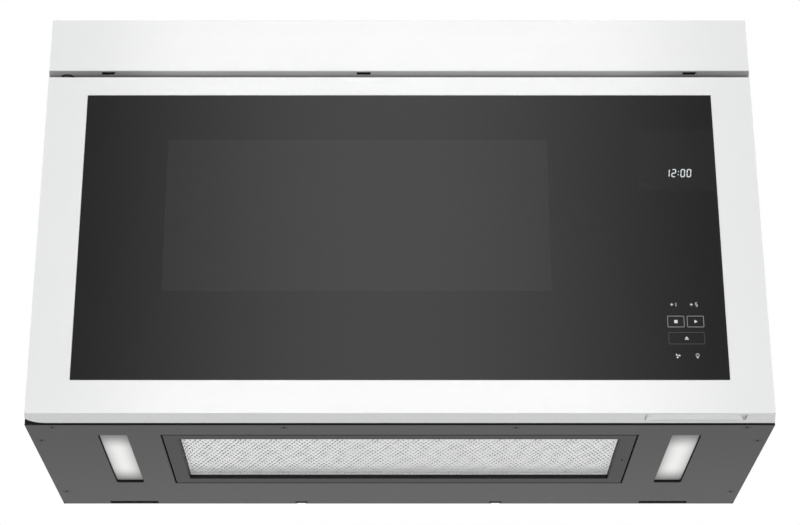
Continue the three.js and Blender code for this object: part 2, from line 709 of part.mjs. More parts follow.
function charcoalFilter() {
  const spanX = spanAt(0, CHARCOAL_WIDTH);
  const spanY = [FRAME_REAR, FRAME_REAR + CHARCOAL_DEPTH];
  const spanZ = [CHARCOAL_LOW, CHARCOAL_HIGH];
  const recess = block(
    grown(spanX, -CHARCOAL_BORDER),
    [FRAME_REAR - CUT, FRAME_REAR + CHARCOAL_BORDER / 2],
    grown(spanZ, -CHARCOAL_BORDER),
  );
  return block(spanX, spanY, spanZ).subtract(recess);
}

// ---------------------------------------------------------------- oven cavity and its feed

function cavityShell() {
  const innerX = [CAVITY_LEFT, CAVITY_RIGHT];
  const innerY = [FRAME_REAR, CAVITY_REAR];
  const wellX = grown(innerX, -LEDGE_WIDTH);
  const wellY = grown(innerY, -LEDGE_WIDTH);
  const upper = block(grown(innerX, SHEET), [FRAME_REAR, CAVITY_REAR + SHEET], [
    CAVITY_LEDGE - SHEET,
    CAVITY_TOP + SHEET,
  ]);
  const lower = block(grown(wellX, SHEET), grown(wellY, SHEET), [WELL_FLOOR - SHEET, CAVITY_LEDGE]);
  let shell = upper.add(lower);
  shell = shell.subtract(block(innerX, [FRAME_REAR - CUT, CAVITY_REAR], [CAVITY_LEDGE, CAVITY_TOP]));
  shell = shell.subtract(block(wellX, wellY, [WELL_FLOOR, CAVITY_LEDGE + CUT]));
  const feedZ = grown([WELL_FLOOR - SHEET, WELL_FLOOR], CUT);
  shell = shell.subtract(rod("z", FEED_HOLE_RADIUS, feedZ, [CAVITY_MIDDLE_X, FEED_Y]));
  const lampX = grown([CAVITY_RIGHT, CAVITY_RIGHT + SHEET], CUT);
  shell = shell.subtract(rod("x", LAMP_HOLE_RADIUS, lampX, lampPlace));
  return shell;
}

const lampPlace = [FRAME_REAR + LAMP_FROM_FRONT, CAVITY_TOP - LAMP_FROM_TOP];

function ceramicFloor() {
  const spanX = grown([CAVITY_LEFT, CAVITY_RIGHT], -SEAT);
  const spanY = grown([FRAME_REAR, CAVITY_REAR], -SEAT);
  return block(spanX, spanY, [CAVITY_LEDGE + SEAT, CAVITY_FLOOR]);
}

function waveguide() {
  const spanX = [
    CAVITY_MIDDLE_X - WAVEGUIDE_PAST_ANTENNA,
    MAGNETRON_X + MAGNETRON_WIDTH / 2,
  ];
  const spanY = spanAt(FEED_Y, WAVEGUIDE_WIDTH);
  const spanZ = [WAVEGUIDE_LOW, WAVEGUIDE_TOP];
  const outer = block(spanX, spanY, spanZ);
  const inner = block(grown(spanX, -SHEET), grown(spanY, -SHEET), grown(spanZ, -SHEET));
  const topCut = [WAVEGUIDE_TOP - SHEET - CUT, WAVEGUIDE_TOP + CUT];
  const lowCut = [WAVEGUIDE_LOW - CUT, WAVEGUIDE_LOW + SHEET + CUT];
  return outer
    .subtract(inner)
    .subtract(rod("z", FEED_HOLE_RADIUS, topCut, [CAVITY_MIDDLE_X, FEED_Y]))
    .subtract(rod("z", FEED_HOLE_RADIUS, topCut, [MAGNETRON_X, FEED_Y]))
    .subtract(rod("z", ANTENNA_SHAFT_RADIUS + SEAT, lowCut, [CAVITY_MIDDLE_X, FEED_Y]));
}

// The antenna turns about its own Z axis; z = 0 at the case underside.
function rotatingAntenna() {
  const bladeLow = WELL_FLOOR + ANTENNA_RISE;
  const bladeZ = [bladeLow, bladeLow + ANTENNA_THICKNESS];
  let blade = rod("z", ANTENNA_RADIUS, bladeZ, [0, 0], FINE_SIDES);
  for (let slot = 0; slot < ANTENNA_SLOT_COUNT; slot += 1) {
    const cutter = block(
      spanAt(ANTENNA_SLOT_FROM_MIDDLE, ANTENNA_SLOT_LENGTH),
      spanAt(0, ANTENNA_SLOT_WIDTH),
      grown(bladeZ, CUT),
    );
    blade = blade.subtract(cutter.rotate([0, 0, (slot * 360) / ANTENNA_SLOT_COUNT]));
  }
  const shaftLow = WAVEGUIDE_LOW - SEAT - ANTENNA_SHAFT_INSIDE;
  return blade.add(rod("z", ANTENNA_SHAFT_RADIUS, [shaftLow, bladeLow + ANTENNA_THICKNESS / 2], [0, 0]));
}

function antennaMotor() {
  const top = WAVEGUIDE_LOW - SEAT;
  const spanZ = [top - ANTENNA_MOTOR_HEIGHT, top];
  const can = rod("z", ANTENNA_MOTOR_RADIUS, spanZ, [0, 0]);
  const ears = block(
    [-ANTENNA_MOTOR_EAR, ANTENNA_MOTOR_EAR],
    [-ANTENNA_MOTOR_RADIUS / 3, ANTENNA_MOTOR_RADIUS / 3],
    [top - SHEET, top],
  );
  const bore = rod(
    "z",
    ANTENNA_SHAFT_RADIUS + SEAT,
    [top - ANTENNA_SHAFT_INSIDE - SEAT, top + CUT],
    [0, 0],
  );
  return can.add(ears).subtract(bore);
}

// The magnetron's own frame: the middle of its foot is at the origin.
function magnetronYoke() {
  const spanX = spanAt(0, MAGNETRON_WIDTH);
  const spanY = spanAt(0, MAGNETRON_DEPTH);
  const spanZ = [0, MAGNETRON_HEIGHT];
  const tube = block(spanX, spanY, spanZ).subtract(
    block(grown(spanX, -MAGNETRON_WALL), grown(spanY, CUT), grown(spanZ, -MAGNETRON_WALL)),
  );
  const filterBox = block(
    grown(spanX, -MAGNETRON_WIDTH / 6),
    grown(spanY, -MAGNETRON_DEPTH / 6),
    [MAGNETRON_HEIGHT, MAGNETRON_HEIGHT + FILTER_BOX_HEIGHT],
  );
  const foot = [-CUT, MAGNETRON_WALL + CUT];
  return tube.add(filterBox).subtract(rod("z", DOME_RADIUS + SEAT, foot, [0, 0]));
}

function magnetronCore() {
  const low = MAGNETRON_WALL + SEAT;
  const high = MAGNETRON_HEIGHT - MAGNETRON_WALL - SEAT;
  let core = rod("z", ANODE_RADIUS, [low, high], [0, 0], SMALL_SIDES);
  core = core.add(rod("z", DOME_RADIUS, [-DOME_LENGTH, low + CUT], [0, 0], SMALL_SIDES));
  const pitch = (high - low) / (FIN_COUNT + 1);
  for (let fin = 1; fin <= FIN_COUNT; fin += 1) {
    const z = low + fin * pitch;
    core = core.add(
      block(
        spanAt(0, MAGNETRON_WIDTH - 2 * (MAGNETRON_WALL + SEAT)),
        spanAt(0, MAGNETRON_DEPTH * 0.9),
        [z, z + FIN_THICKNESS],
      ),
    );
  }
  return core;
}

// ---------------------------------------------------------------- component bay

const shelfSpanX = [BAY_LEFT, CASE_INSIDE];
const shelfSpanY = [SHELF_FROM_FRONT, CASE_DEPTH - SHELF_FROM_REAR];

function componentShelf() {
  const deck = block(shelfSpanX, shelfSpanY, [SHELF_Z, SHELF_TOP]);
  const hemZ = [SHELF_Z - SHELF_HEM, SHELF_TOP];
  const leftHem = block([shelfSpanX[0], shelfSpanX[0] + SHEET], shelfSpanY, hemZ);
  const rightHem = block([shelfSpanX[1] - SHEET, shelfSpanX[1]], shelfSpanY, hemZ);
  return deck.add(leftHem).add(rightHem);
}

// The transformer's own frame: the middle of its foot is at the origin.
function transformer() {
  const core = block(
    spanAt(0, TRANSFORMER_WIDTH),
    spanAt(0, TRANSFORMER_DEPTH),
    [0, TRANSFORMER_HEIGHT],
  );
  const windowMiddle = TRANSFORMER_WIDTH / 4;
  const coilZ = spanAt(TRANSFORMER_HEIGHT / 2, TRANSFORMER_HEIGHT / 1.6);
  let body = core;
  for (const side of [-1, 1]) {
    const windowX = spanAt(side * windowMiddle, TRANSFORMER_WINDOW);
    body = body.subtract(block(windowX, grown(spanAt(0, TRANSFORMER_DEPTH), CUT), coilZ));
  }
  const coil = block(
    spanAt(0, 2 * windowMiddle + TRANSFORMER_WINDOW / 2),
    spanAt(0, TRANSFORMER_DEPTH + 2 * TRANSFORMER_COIL),
    grown(coilZ, -SHEET),
  );
  return body.add(coil);
}

function capacitor() {
  const radius = CAPACITOR_HEIGHT / 2;
  const shape = roundedRectangle(spanAt(0, CAPACITOR_WIDTH), [0, CAPACITOR_HEIGHT], radius - SEAT);
  const can = sideways(shape, [0, CAPACITOR_LENGTH], 5);
  const terminals = [-1, 1].map((side) =>
    block(
      [CAPACITOR_LENGTH - CUT, CAPACITOR_LENGTH + CAPACITOR_TERMINAL * 1.5],
      spanAt((side * CAPACITOR_WIDTH) / 4, CAPACITOR_TERMINAL),
      spanAt(radius, SHEET),
    ),
  );
  return terminals.reduce((sum, terminal) => sum.add(terminal), can);
}

function diode() {
  const body = rod("x", DIODE_RADIUS, [0, DIODE_LENGTH], [0, DIODE_RADIUS]);
  const tail = block(
    [DIODE_LENGTH - CUT, DIODE_LENGTH + DIODE_TAIL],
    spanAt(0, DIODE_RADIUS),
    [0, SHEET],
  );
  return body.add(tail);
}

// The board's own frame: x from its left edge, z from its lower edge, y = 0 at its rear face.
function powerBoard() {
  let board = block([0, BOARD_WIDTH], [-BOARD_THICKNESS, 0], [0, BOARD_HEIGHT]);
  // Each part's place and height, as shares of the board and of the tallest part
  const parts = [
    { x: [0.08, 0.27], z: [0.13, 0.45], height: 1 },
    { x: [0.35, 0.48], z: [0.13, 0.31], height: 0.6 },
    { x: [0.52, 0.65], z: [0.13, 0.31], height: 0.6 },
    { x: [0.69, 0.82], z: [0.13, 0.31], height: 0.6 },
    { x: [0.37, 0.73], z: [0.53, 0.65], height: 0.2 },
    { x: [0.13, 0.26], z: [0.6, 0.8], height: 0.75 },
    { x: [0.78, 0.9], z: [0.5, 0.75], height: 0.45 },
  ];
  for (const { x, z, height } of parts) {
    const spanX = x.map((share) => share * BOARD_WIDTH);
    const spanZ = z.map((share) => share * BOARD_HEIGHT);
    const front = -BOARD_THICKNESS - height * BOARD_PART_DEPTH;
    board = board.add(block(spanX, [front, -BOARD_THICKNESS / 2], spanZ));
  }
  for (const x of [STANDOFF_INSET, BOARD_WIDTH - STANDOFF_INSET]) {
    for (const z of [STANDOFF_INSET, BOARD_HEIGHT - STANDOFF_INSET]) {
      const post = [-BOARD_THICKNESS / 2, BOARD_STANDOFF];
      board = board.add(rod("y", STANDOFF_RADIUS, post, [x, z], 8));
    }
  }
  return board;
}

function cavityLamp() {
  const seat = CAVITY_RIGHT + SHEET + SEAT;
  const plate = block(
    [seat, seat + SHEET],
    spanAt(lampPlace[0], 4 * LAMP_HOLE_RADIUS),
    spanAt(lampPlace[1], 3 * LAMP_HOLE_RADIUS),
  );
  const socket = rod("x", LAMP_HOLE_RADIUS, [seat, seat + 2.2 * LAMP_HOLE_RADIUS], lampPlace);
  const bulb = new THREE.SphereGeometry(LAMP_BULB_RADIUS, SMALL_SIDES, 8);
  bulb.translate(CAVITY_RIGHT + LAMP_BULB_RADIUS, ...lampPlace);
  return plate.add(socket).add(solidOf(bulb));
}

// The fan's own frame: its shaft lies along Y through the origin.
function coolingFanFrame() {
  const spanY = spanAt(0, FAN_DEPTH);
  const half = FAN_SIZE / 2;
  let frame = block([-half, half], spanY, [-half, half]);
  frame = frame.subtract(rod("y", half - FAN_WALL, grown(spanY, CUT), [0, 0], FINE_SIDES));
  const rearY = [FAN_DEPTH / 2 - FAN_SPOKE, FAN_DEPTH / 2];
  frame = frame.add(block([-half, half], rearY, spanAt(0, FAN_SPOKE)));
  frame = frame.add(block(spanAt(0, FAN_SPOKE), rearY, [-half, half]));
  frame = frame.add(rod("y", FAN_HUB_RADIUS, rearY, [0, 0]));
  frame = frame.add(rod("y", FAN_PIN_RADIUS, [FAN_SPOKE - FAN_DEPTH / 2, FAN_DEPTH / 2], [0, 0]));
  const footLow = SHELF_Z - SEAT - fanMiddleZ;
  return frame.add(block([-half, half], spanAt(0, FAN_FOOT), [half - FAN_WALL, footLow]));
}

function coolingFanRotor() {
  const spanY = [-FAN_DEPTH / 2, FAN_DEPTH / 2 - FAN_SPOKE - SEAT];
  let rotor = rod("y", FAN_HUB_RADIUS - SEAT, spanY, [0, 0]);
  const tip = FAN_SIZE / 2 - FAN_WALL - FAN_TIP_GAP;
  const middle = (spanY[0] + spanY[1]) / 2;
  const chord = (spanY[1] - spanY[0]) * 0.8;
  for (let blade = 0; blade < FAN_BLADES; blade += 1) {
    const geometry = new THREE.BoxGeometry(tip - FAN_HUB_RADIUS + CUT, chord, SHEET);
    geometry.rotateX(FAN_BLADE_PITCH);
    geometry.translate((tip + FAN_HUB_RADIUS - CUT) / 2, middle, 0);
    geometry.rotateY((blade * 2 * Math.PI) / FAN_BLADES);
    rotor = rotor.add(solidOf(geometry));
  }
  const bore = [FAN_SPOKE - FAN_DEPTH / 2 - SEAT, FAN_DEPTH / 2];
  return rotor.subtract(rod("y", FAN_PIN_RADIUS + SEAT, bore, [0, 0]));
}

const fanMiddleZ = MAGNETRON_LOW + MAGNETRON_HEIGHT / 2;

// ---------------------------------------------------------------- hood blower and exhaust

const blowerY = EXHAUST_FRONT + BLOWER_INSET;
const blowerTop = TOP_INSIDE - BLOWER_Z; // above the shaft

// The housing's section in its own frame: the shaft is at the origin.
function scrollShape(wall) {
  const radius = BLOWER_RADIUS - wall;
  const shape = new THREE.Shape();
  const rearTop = BLOWER_RADIUS + BLOWER_OUTLET_SPREAD - wall;
  const rise = blowerTop + (wall > 0 ? CUT : 0);
  shape.moveTo(radius, 0);
  shape.lineTo(rearTop, rise);
  shape.lineTo(wall, rise);
  shape.lineTo(wall, radius);
  shape.absarc(0, 0, radius, Math.PI / 2, 2 * Math.PI);
  return shape;
}

// One of the two blower housings, from its inner face outwards along X.
function blowerHousing(side) {
  const near = side * BLOWER_SPACING;
  const far = side * (BLOWER_SPACING + BLOWER_HOUSING_WIDTH);
  const span = [Math.min(near, far), Math.max(near, far)];
  const outer = sideways(scrollShape(0), span, 12);
  const inner = sideways(scrollShape(SHEET), grown(span, -SHEET), 12);
  const shaftHole = rod("x", SHAFT_RADIUS + 2, grown(spanAt(near, 2 * SHEET), CUT), [0, 0]);
  const inlet = rod("x", INLET_RADIUS, grown(spanAt(far, 2 * SHEET), CUT), [0, 0], FINE_SIDES);
  const flangeY = [-BLOWER_INSET - BLOWER_FLANGE, REAR_INSIDE - blowerY];
  const flange = block(span, flangeY, [blowerTop - SHEET, blowerTop]);
  return outer.add(flange).subtract(inner).subtract(shaftHole).subtract(inlet);
}

function blowerMotor() {
  const half = BLOWER_SPACING - SEAT;
  const can = rod("x", BLOWER_MOTOR_RADIUS, [-half, half], [0, 0]);
  return can.subtract(rod("x", SHAFT_RADIUS + SEAT, [-half - CUT, half + CUT], [0, 0]));
}

const wheelMiddle = BLOWER_SPACING + BLOWER_HOUSING_WIDTH / 2;

function blowerWheel() {
  const half = WHEEL_LENGTH / 2;
  const hubSpan = spanAt(0, 2 * WHEEL_HUB_RADIUS);
  const hub = rod("x", WHEEL_HUB_RADIUS, hubSpan, [0, 0], SMALL_SIDES);
  let wheel = rod("x", WHEEL_RADIUS, spanAt(0, SHEET), [0, 0]).add(hub);
  for (const end of [-half, half]) {
    const ringSpan = spanAt(end - (Math.sign(end) * SHEET) / 2, SHEET);
    const ring = rod("x", WHEEL_RADIUS, ringSpan, [0, 0]);
    const mouth = rod("x", WHEEL_RADIUS - BLADE_DEPTH, grown(ringSpan, CUT), [0, 0]);
    wheel = wheel.add(ring.subtract(mouth));
  }
  for (let blade = 0; blade < WHEEL_BLADES; blade += 1) {
    const geometry = new THREE.BoxGeometry(WHEEL_LENGTH, BLADE_THICKNESS, BLADE_DEPTH - SEAT);
    geometry.translate(0, 0, WHEEL_RADIUS - BLADE_DEPTH / 2 - SEAT);
    geometry.rotateX((blade * 2 * Math.PI) / WHEEL_BLADES);
    wheel = wheel.add(solidOf(geometry));
  }
  const bore = rod("x", SHAFT_RADIUS + SEAT, spanAt(0, WHEEL_LENGTH), [0, 0], SMALL_SIDES);
  return wheel.subtract(bore);
}

const shaftHalf = wheelMiddle + WHEEL_HUB_RADIUS + CUT;

function damperFrame() {
  const base = CASE_HEIGHT + SEAT;
  const flange = block(
    grown(exhaustSpanX, EXHAUST_FLANGE),
    grown(exhaustSpanY, EXHAUST_FLANGE),
    [base, base + SHEET],
  );
  const collarZ = [base, CASE_HEIGHT + COLLAR_HEIGHT];
  const collar = block(
    grown(exhaustSpanX, COLLAR_WALL),
    grown(exhaustSpanY, COLLAR_WALL),
    collarZ,
  );
  const mouth = block(exhaustSpanX, exhaustSpanY, grown(collarZ, CUT));
  const stop = block(
    exhaustSpanX,
    [EXHAUST_FRONT, EXHAUST_FRONT + FLAP_STOP],
    [FLAP_Z - FLAP_THICKNESS / 2 - SEAT - SHEET, FLAP_Z - FLAP_THICKNESS / 2 - SEAT],
  );
  const pinHole = rod(
    "x",
    FLAP_PIVOT_RADIUS + SEAT,
    grown(exhaustSpanX, COLLAR_WALL + CUT),
    [EXHAUST_REAR - FLAP_PIVOT_FROM_REAR, FLAP_Z],
    12,
  );
  return flange.add(collar).subtract(mouth).add(stop).subtract(pinHole);
}

// The flap's own frame: it turns about X through the origin.
function damperFlap() {
  const plate = block(
    grown(exhaustSpanX, -FLAP_GAP),
    [FLAP_PIVOT_FROM_REAR + FLAP_GAP - EXHAUST_DEPTH, FLAP_PIVOT_FROM_REAR - FLAP_GAP],
    spanAt(0, FLAP_THICKNESS),
  );
  const pin = rod(
    "x",
    FLAP_PIVOT_RADIUS,
    grown(exhaustSpanX, COLLAR_WALL - SEAT),
    [0, 0],
    12,
  );
  return plate.add(pin);
}

function hoodAirDuct() {
  const spanX = [-CASE_INSIDE, CAVITY_LEFT - SHEET - SEAT];
  const spanY = [DUCT_FROM_FRONT, CASE_DEPTH - DUCT_FROM_REAR];
  const spanZ = [DUCT_LOW, CAVITY_TOP + DUCT_PAST_CAVITY];
  const bore = block(grown(spanX, -SHEET), grown(spanY, -SHEET), grown(spanZ, CUT));
  return block(spanX, spanY, spanZ).subtract(bore);
}

function cordGland() {
  const capZ = [CASE_HEIGHT + SEAT, CASE_HEIGHT + SEAT + GLAND_CAP];
  const neckZ = [CASE_HEIGHT - GLAND_NECK, CASE_HEIGHT + GLAND_CAP];
  return rod("z", GLAND_RADIUS, capZ, glandPlace)
    .add(rod("z", GLAND_NECK_RADIUS, neckZ, glandPlace))
    .subtract(rod("z", GLAND_BORE_RADIUS, [neckZ[0] - CUT, capZ[1] + CUT], glandPlace));
}

// ---------------------------------------------------------------- door hinges

const upperArmZ = PANEL_LOW + PANEL_WALL + SEAT;
const hingePlace = [HINGE_X, HINGE_Y];

// An arm that comes through the front frame from a leg behind it.
function hingeArm(low, legSpan) {
  const spanX = spanAt(HINGE_X, 2 * BRACKET_HALF_WIDTH);
  const arm = block(spanX, [HINGE_Y - BRACKET_HALF_WIDTH, FRAME_REAR + BRACKET_THICKNESS], [
    low,
    low + BRACKET_THICKNESS,
  ]);
  return arm.add(block(spanX, [FRAME_REAR, FRAME_REAR + BRACKET_THICKNESS], legSpan));
}

function upperHingeBracket() {
  const hole = [upperArmZ - CUT, upperArmZ + BRACKET_THICKNESS + CUT];
  const arm = hingeArm(upperArmZ, [upperArmZ, upperArmZ + BRACKET_LEG]);
  return arm.subtract(rod("z", PIN_RADIUS + SEAT, hole, hingePlace));
}

function upperHingeBush() {
  const spanZ = [PANEL_LOW - BUSH_DROP, upperArmZ - SEAT];
  return rod("z", BUSH_RADIUS, spanZ, hingePlace).subtract(
    rod("z", PIN_RADIUS + SEAT, grown(spanZ, CUT), hingePlace),
  );
}

function upperHingePin() {
  return rod("z", PIN_RADIUS, [DOOR_TOP - PIN_INSET, upperArmZ + BRACKET_THICKNESS], hingePlace);
}

const lowerArmTop = LOWER_ARM_LIFT + BRACKET_THICKNESS;

function lowerHingeBracket() {
  const arm = hingeArm(LOWER_ARM_LIFT, [LOWER_ARM_LIFT, LOWER_ARM_LIFT + BRACKET_LEG]);
  const pin = rod("z", PIN_RADIUS, [lowerArmTop - SEAT, lowerArmTop + LOWER_PIN_LENGTH], hingePlace);
  return arm.add(pin);
}

// The bush stands on the hinge arm and carries the door.
function lowerHingeBush() {
  const spanZ = [lowerArmTop + SEAT, lowerArmTop + LOWER_PIN_LENGTH];
  return rod("z", BUSH_RADIUS, spanZ, hingePlace).subtract(
    rod("z", PIN_RADIUS + SEAT, grown(spanZ, CUT), hingePlace),
  );
}

// ---------------------------------------------------------------- door

// The door's own frame: x = 0 at its middle, y = 0 at its rear face, z = 0 at its underside.
const doorHingeX = HINGE_X;
const doorHingeY = HINGE_FROM_FRONT - DOOR_THICKNESS;
const glassSpanX = [-GLASS_HALF, GLASS_HALF];
const glassSpanZ = [GLASS_LOW, GLASS_HIGH];
const glassRear = GLASS_THICKNESS - DOOR_THICKNESS;
const pocketRight = DOOR_HALF - POCKET_FROM_SIDE;
const pocketSpanX = [pocketRight - POCKET_WIDTH, pocketRight];
const pocketFront = POCKET_FRONT_WALL - DOOR_THICKNESS;
const pocketSpanY = [pocketFront, pocketFront + POCKET_DEPTH];
const doorInsideX = DOOR_HALF - DOOR_WALL;
const lipRight = doorHingeX + HINGE_LIP;

function doorOutline() {
  const { shape, sideX } = flaredOutline(DOOR_THICKNESS);
  shape.lineTo(doorHingeX, 0);
  const radiusX = sideX(doorHingeY) + doorHingeX;
  shape.absellipse(doorHingeX, doorHingeY, radiusX, -doorHingeY, Math.PI / 2, Math.PI);
  shape.lineTo(-sideX(EDGE_RADIUS - DOOR_THICKNESS), EDGE_RADIUS - DOOR_THICKNESS);
  shape.quadraticCurveTo(-DOOR_HALF, -DOOR_THICKNESS, EDGE_RADIUS - DOOR_HALF, -DOOR_THICKNESS);
  return shape;
}

// The boss in the door that holds a hinge bush or pin, up to the door's side wall.
function hingeBoss(spanZ) {
  const radius = BUSH_RADIUS + DOOR_WALL;
  const boss = rod("z", radius, spanZ, [doorHingeX, doorHingeY]);
  const web = block(
    [-DOOR_HALF + DOOR_WALL / 2, doorHingeX],
    spanAt(doorHingeY, 2 * DOOR_WALL),
    spanZ,
  );
  return boss.add(web);
}

// The room behind the door's face, short of the rounded lip beside the hinge.
function doorHollow() {
  const spanZ = [DOOR_WALL, DOOR_HEIGHT - DOOR_WALL];
  const room = block([-doorInsideX, doorInsideX], [DOOR_WALL - DOOR_THICKNESS, CUT], spanZ);
  const round = new THREE.Shape();
  const radiusY = -doorHingeY - DOOR_WALL;
  round.absellipse(doorHingeX, doorHingeY, doorInsideX + doorHingeX, radiusY, 0, 2 * Math.PI);
  const corner = block([-doorInsideX - CUT, lipRight], [doorHingeY, 2 * CUT], grown(spanZ, CUT));
  const flat = block([doorHingeX, lipRight + CUT], [doorHingeY - CUT, -DOOR_WALL], grown(spanZ, 2 * CUT));
  const lip = corner.subtract(upright(round, grown(spanZ, 2 * CUT), 6)).subtract(flat);
  return room.subtract(lip);
}

function pocketHollow() {
  const [front, rear] = pocketSpanY;
  const outline = new THREE.Shape();
  outline.moveTo(front, -CUT);
  outline.lineTo(rear, -CUT);
  outline.lineTo(rear, 0);
  outline.lineTo(front + POCKET_TOP_DEPTH, POCKET_HEIGHT);
  outline.lineTo(front, POCKET_HEIGHT);
  return sideways(outline, pocketSpanX);
}

function doorFrame() {
  let frame = upright(doorOutline(), [0, DOOR_HEIGHT], 6);
  const hollow = doorHollow();
  const ledge = block(
    grown(glassSpanX, DOOR_WALL),
    [-DOOR_THICKNESS, glassRear + SEAT + LEDGE_THICKNESS],
    grown(glassSpanZ, DOOR_WALL),
  );
  frame = frame.subtract(hollow.subtract(ledge));
  frame = frame.subtract(
    block(
      grown(glassSpanX, SEAT),
      [-DOOR_THICKNESS - CUT, glassRear + SEAT],
      grown(glassSpanZ, SEAT),
    ),
  );
  frame = frame.subtract(
    block(
      grown(glassSpanX, -GLASS_LEDGE),
      [-DOOR_THICKNESS - CUT, CUT],
      grown(glassSpanZ, -GLASS_LEDGE),
    ),
  );

  // Pocket handle
  const tub = block(
    grown(pocketSpanX, POCKET_WALL),
    grown(pocketSpanY, POCKET_WALL),
    [0, POCKET_HEIGHT + POCKET_WALL],
  );
  frame = frame.add(tub).subtract(pocketHollow());

  // Hinge bosses, with the corner slot that lets the fixed lower arm in as the door swings
  const bushSpan = [
    lowerArmTop + SEAT - DOOR_LIFT,
    lowerArmTop + LOWER_PIN_LENGTH + POCKET_WALL - DOOR_LIFT,
  ];
  frame = frame.add(hingeBoss(bushSpan));
  frame = frame.add(hingeBoss([DOOR_HEIGHT - PIN_INSET - DOOR_WALL, DOOR_HEIGHT - DOOR_WALL / 2]));
  const bushBore = [bushSpan[0] - CUT, lowerArmTop + LOWER_PIN_LENGTH + SEAT - DOOR_LIFT];
  frame = frame.subtract(rod("z", BUSH_RADIUS + SEAT, bushBore, [doorHingeX, doorHingeY]));
  const pinBore = [DOOR_HEIGHT - PIN_INSET - SEAT, DOOR_HEIGHT + CUT];
  frame = frame.subtract(rod("z", PIN_RADIUS + SEAT, pinBore, [doorHingeX, doorHingeY]));
  const armRoom = BRACKET_HALF_WIDTH + LOWER_SLOT_GAP;
  const sweep = (HINGE_FROM_SIDE + DOOR_FLARE) * Math.tan(DOOR_OVERSWING);
  const cornerSlot = block(
    [-DOOR_HALF - DOOR_FLARE - CUT, doorHingeX + armRoom],
    [doorHingeY - armRoom - sweep, CUT],
    [LOWER_ARM_LIFT - DOOR_LIFT - LOWER_SLOT_GAP, bushSpan[0]],
  );
  frame = frame.subtract(cornerSlot);

  // Guides beside the latch bar, and the seat of its spring
  for (const z of hookHeights) {
    const guide = block(
      [LATCH_X + BAR_HALF_WIDTH + SEAT, doorInsideX + DOOR_WALL / 2],
      [-BAR_FROM_REAR - 2 * BAR_THICKNESS, -BAR_FROM_REAR + BAR_THICKNESS],
      spanAt(z - DOOR_LIFT, GUIDE_HEIGHT),
    );
    frame = frame.add(guide);
  }
  const springTop = springHigh + SEAT;
  const springSeat = block(
    [LATCH_X - BAR_HALF_WIDTH, doorInsideX + DOOR_WALL / 2],
    spanAt(latchBarY, 2 * SPRING_RADIUS + DOOR_WALL),
    [springTop, springTop + DOOR_WALL],
  );
  return frame.add(springSeat);
}

const latchBarY = -BAR_FROM_REAR - BAR_THICKNESS / 2;
const barHigh = UPPER_HOOK_Z + BAR_END - DOOR_LIFT;
const springLow = barHigh + SEAT;
const springHigh = springLow + SPRING_LENGTH;

function doorGlass() {
  return block(glassSpanX, [-DOOR_THICKNESS, glassRear], glassSpanZ);
}

const windowSpanX = grown([CAVITY_LEFT, CAVITY_RIGHT], -WINDOW_FROM_SIDE);
const windowSpanZ = [
  CAVITY_FLOOR + WINDOW_FROM_END - DOOR_LIFT,
  CAVITY_TOP - WINDOW_FROM_END - DOOR_LIFT,
];
const chokeRear = DOOR_GAP - CHOKE_GAP;

// A pressed steel panel behind the door, raised into a rim that closes the oven's mouth.
function doorInnerPanel() {
  const flatX = [lipRight + SEAT, doorInsideX - SEAT];
  const flatZ = [DOOR_WALL + SEAT, DOOR_HEIGHT - DOOR_WALL - SEAT];
  const flat = block(flatX, [-SHEET - SEAT, -SEAT], flatZ);
  const rimX = grown([CAVITY_LEFT, CAVITY_RIGHT], WINDOW_RIM);
  const rimZ = grown([CAVITY_FLOOR - DOOR_LIFT, CAVITY_TOP - DOOR_LIFT], WINDOW_RIM);
  const rim = block(rimX, [-SHEET - SEAT, chokeRear], rimZ);
  const press = block(grown(rimX, -SHEET), [-SHEET - SEAT - CUT, chokeRear - SHEET], grown(rimZ, -SHEET));
  let panel = flat.add(rim).subtract(press);
  panel = panel.subtract(block(windowSpanX, [-CUT, chokeRear + CUT], windowSpanZ));
  for (const z of hookHeights) {
    const slotX = spanAt(LATCH_X, 2 * (HOOK_HALF_WIDTH + HOOK_ROOM));
    const slotZ = [
      z - HOOK_HALF_HEIGHT - BARB_DROP - HOOK_ROOM - DOOR_LIFT,
      z + HOOK_HALF_HEIGHT + LATCH_LIFT + HOOK_ROOM - DOOR_LIFT,
    ];
    panel = panel.subtract(block(slotX, grown([-SHEET - SEAT, -SEAT], CUT), slotZ));
  }
  // Room round the lower hinge, which the fixed arm sweeps through
  const clearance = BRACKET_HALF_WIDTH + LOWER_SLOT_GAP;
  const corner = block(
    [-doorInsideX - CUT, doorHingeX + clearance],
    [-SHEET - SEAT - CUT, CUT],
    [0, lowerArmTop + LOWER_PIN_LENGTH + POCKET_WALL + SEAT],
  );
  // The pocket handle's tub stands in the same layer
  const pocketRoom = block(
    grown(pocketSpanX, POCKET_WALL + SEAT),
    [-SHEET - SEAT - CUT, CUT],
    [0, POCKET_HEIGHT + POCKET_WALL + SEAT],
  );
  return panel.subtract(corner).subtract(pocketRoom);
}

function doorScreen() {
  const rear = chokeRear - SHEET - SEAT;
  return block(
    grown(windowSpanX, SCREEN_OVERLAP),
    [rear - SCREEN_THICKNESS, rear],
    grown(windowSpanZ, SCREEN_OVERLAP),
  );
}

function doorInnerPane() {
  return block(grown(windowSpanX, -SEAT), [chokeRear - SHEET, chokeRear], grown(windowSpanZ, -SEAT));
}

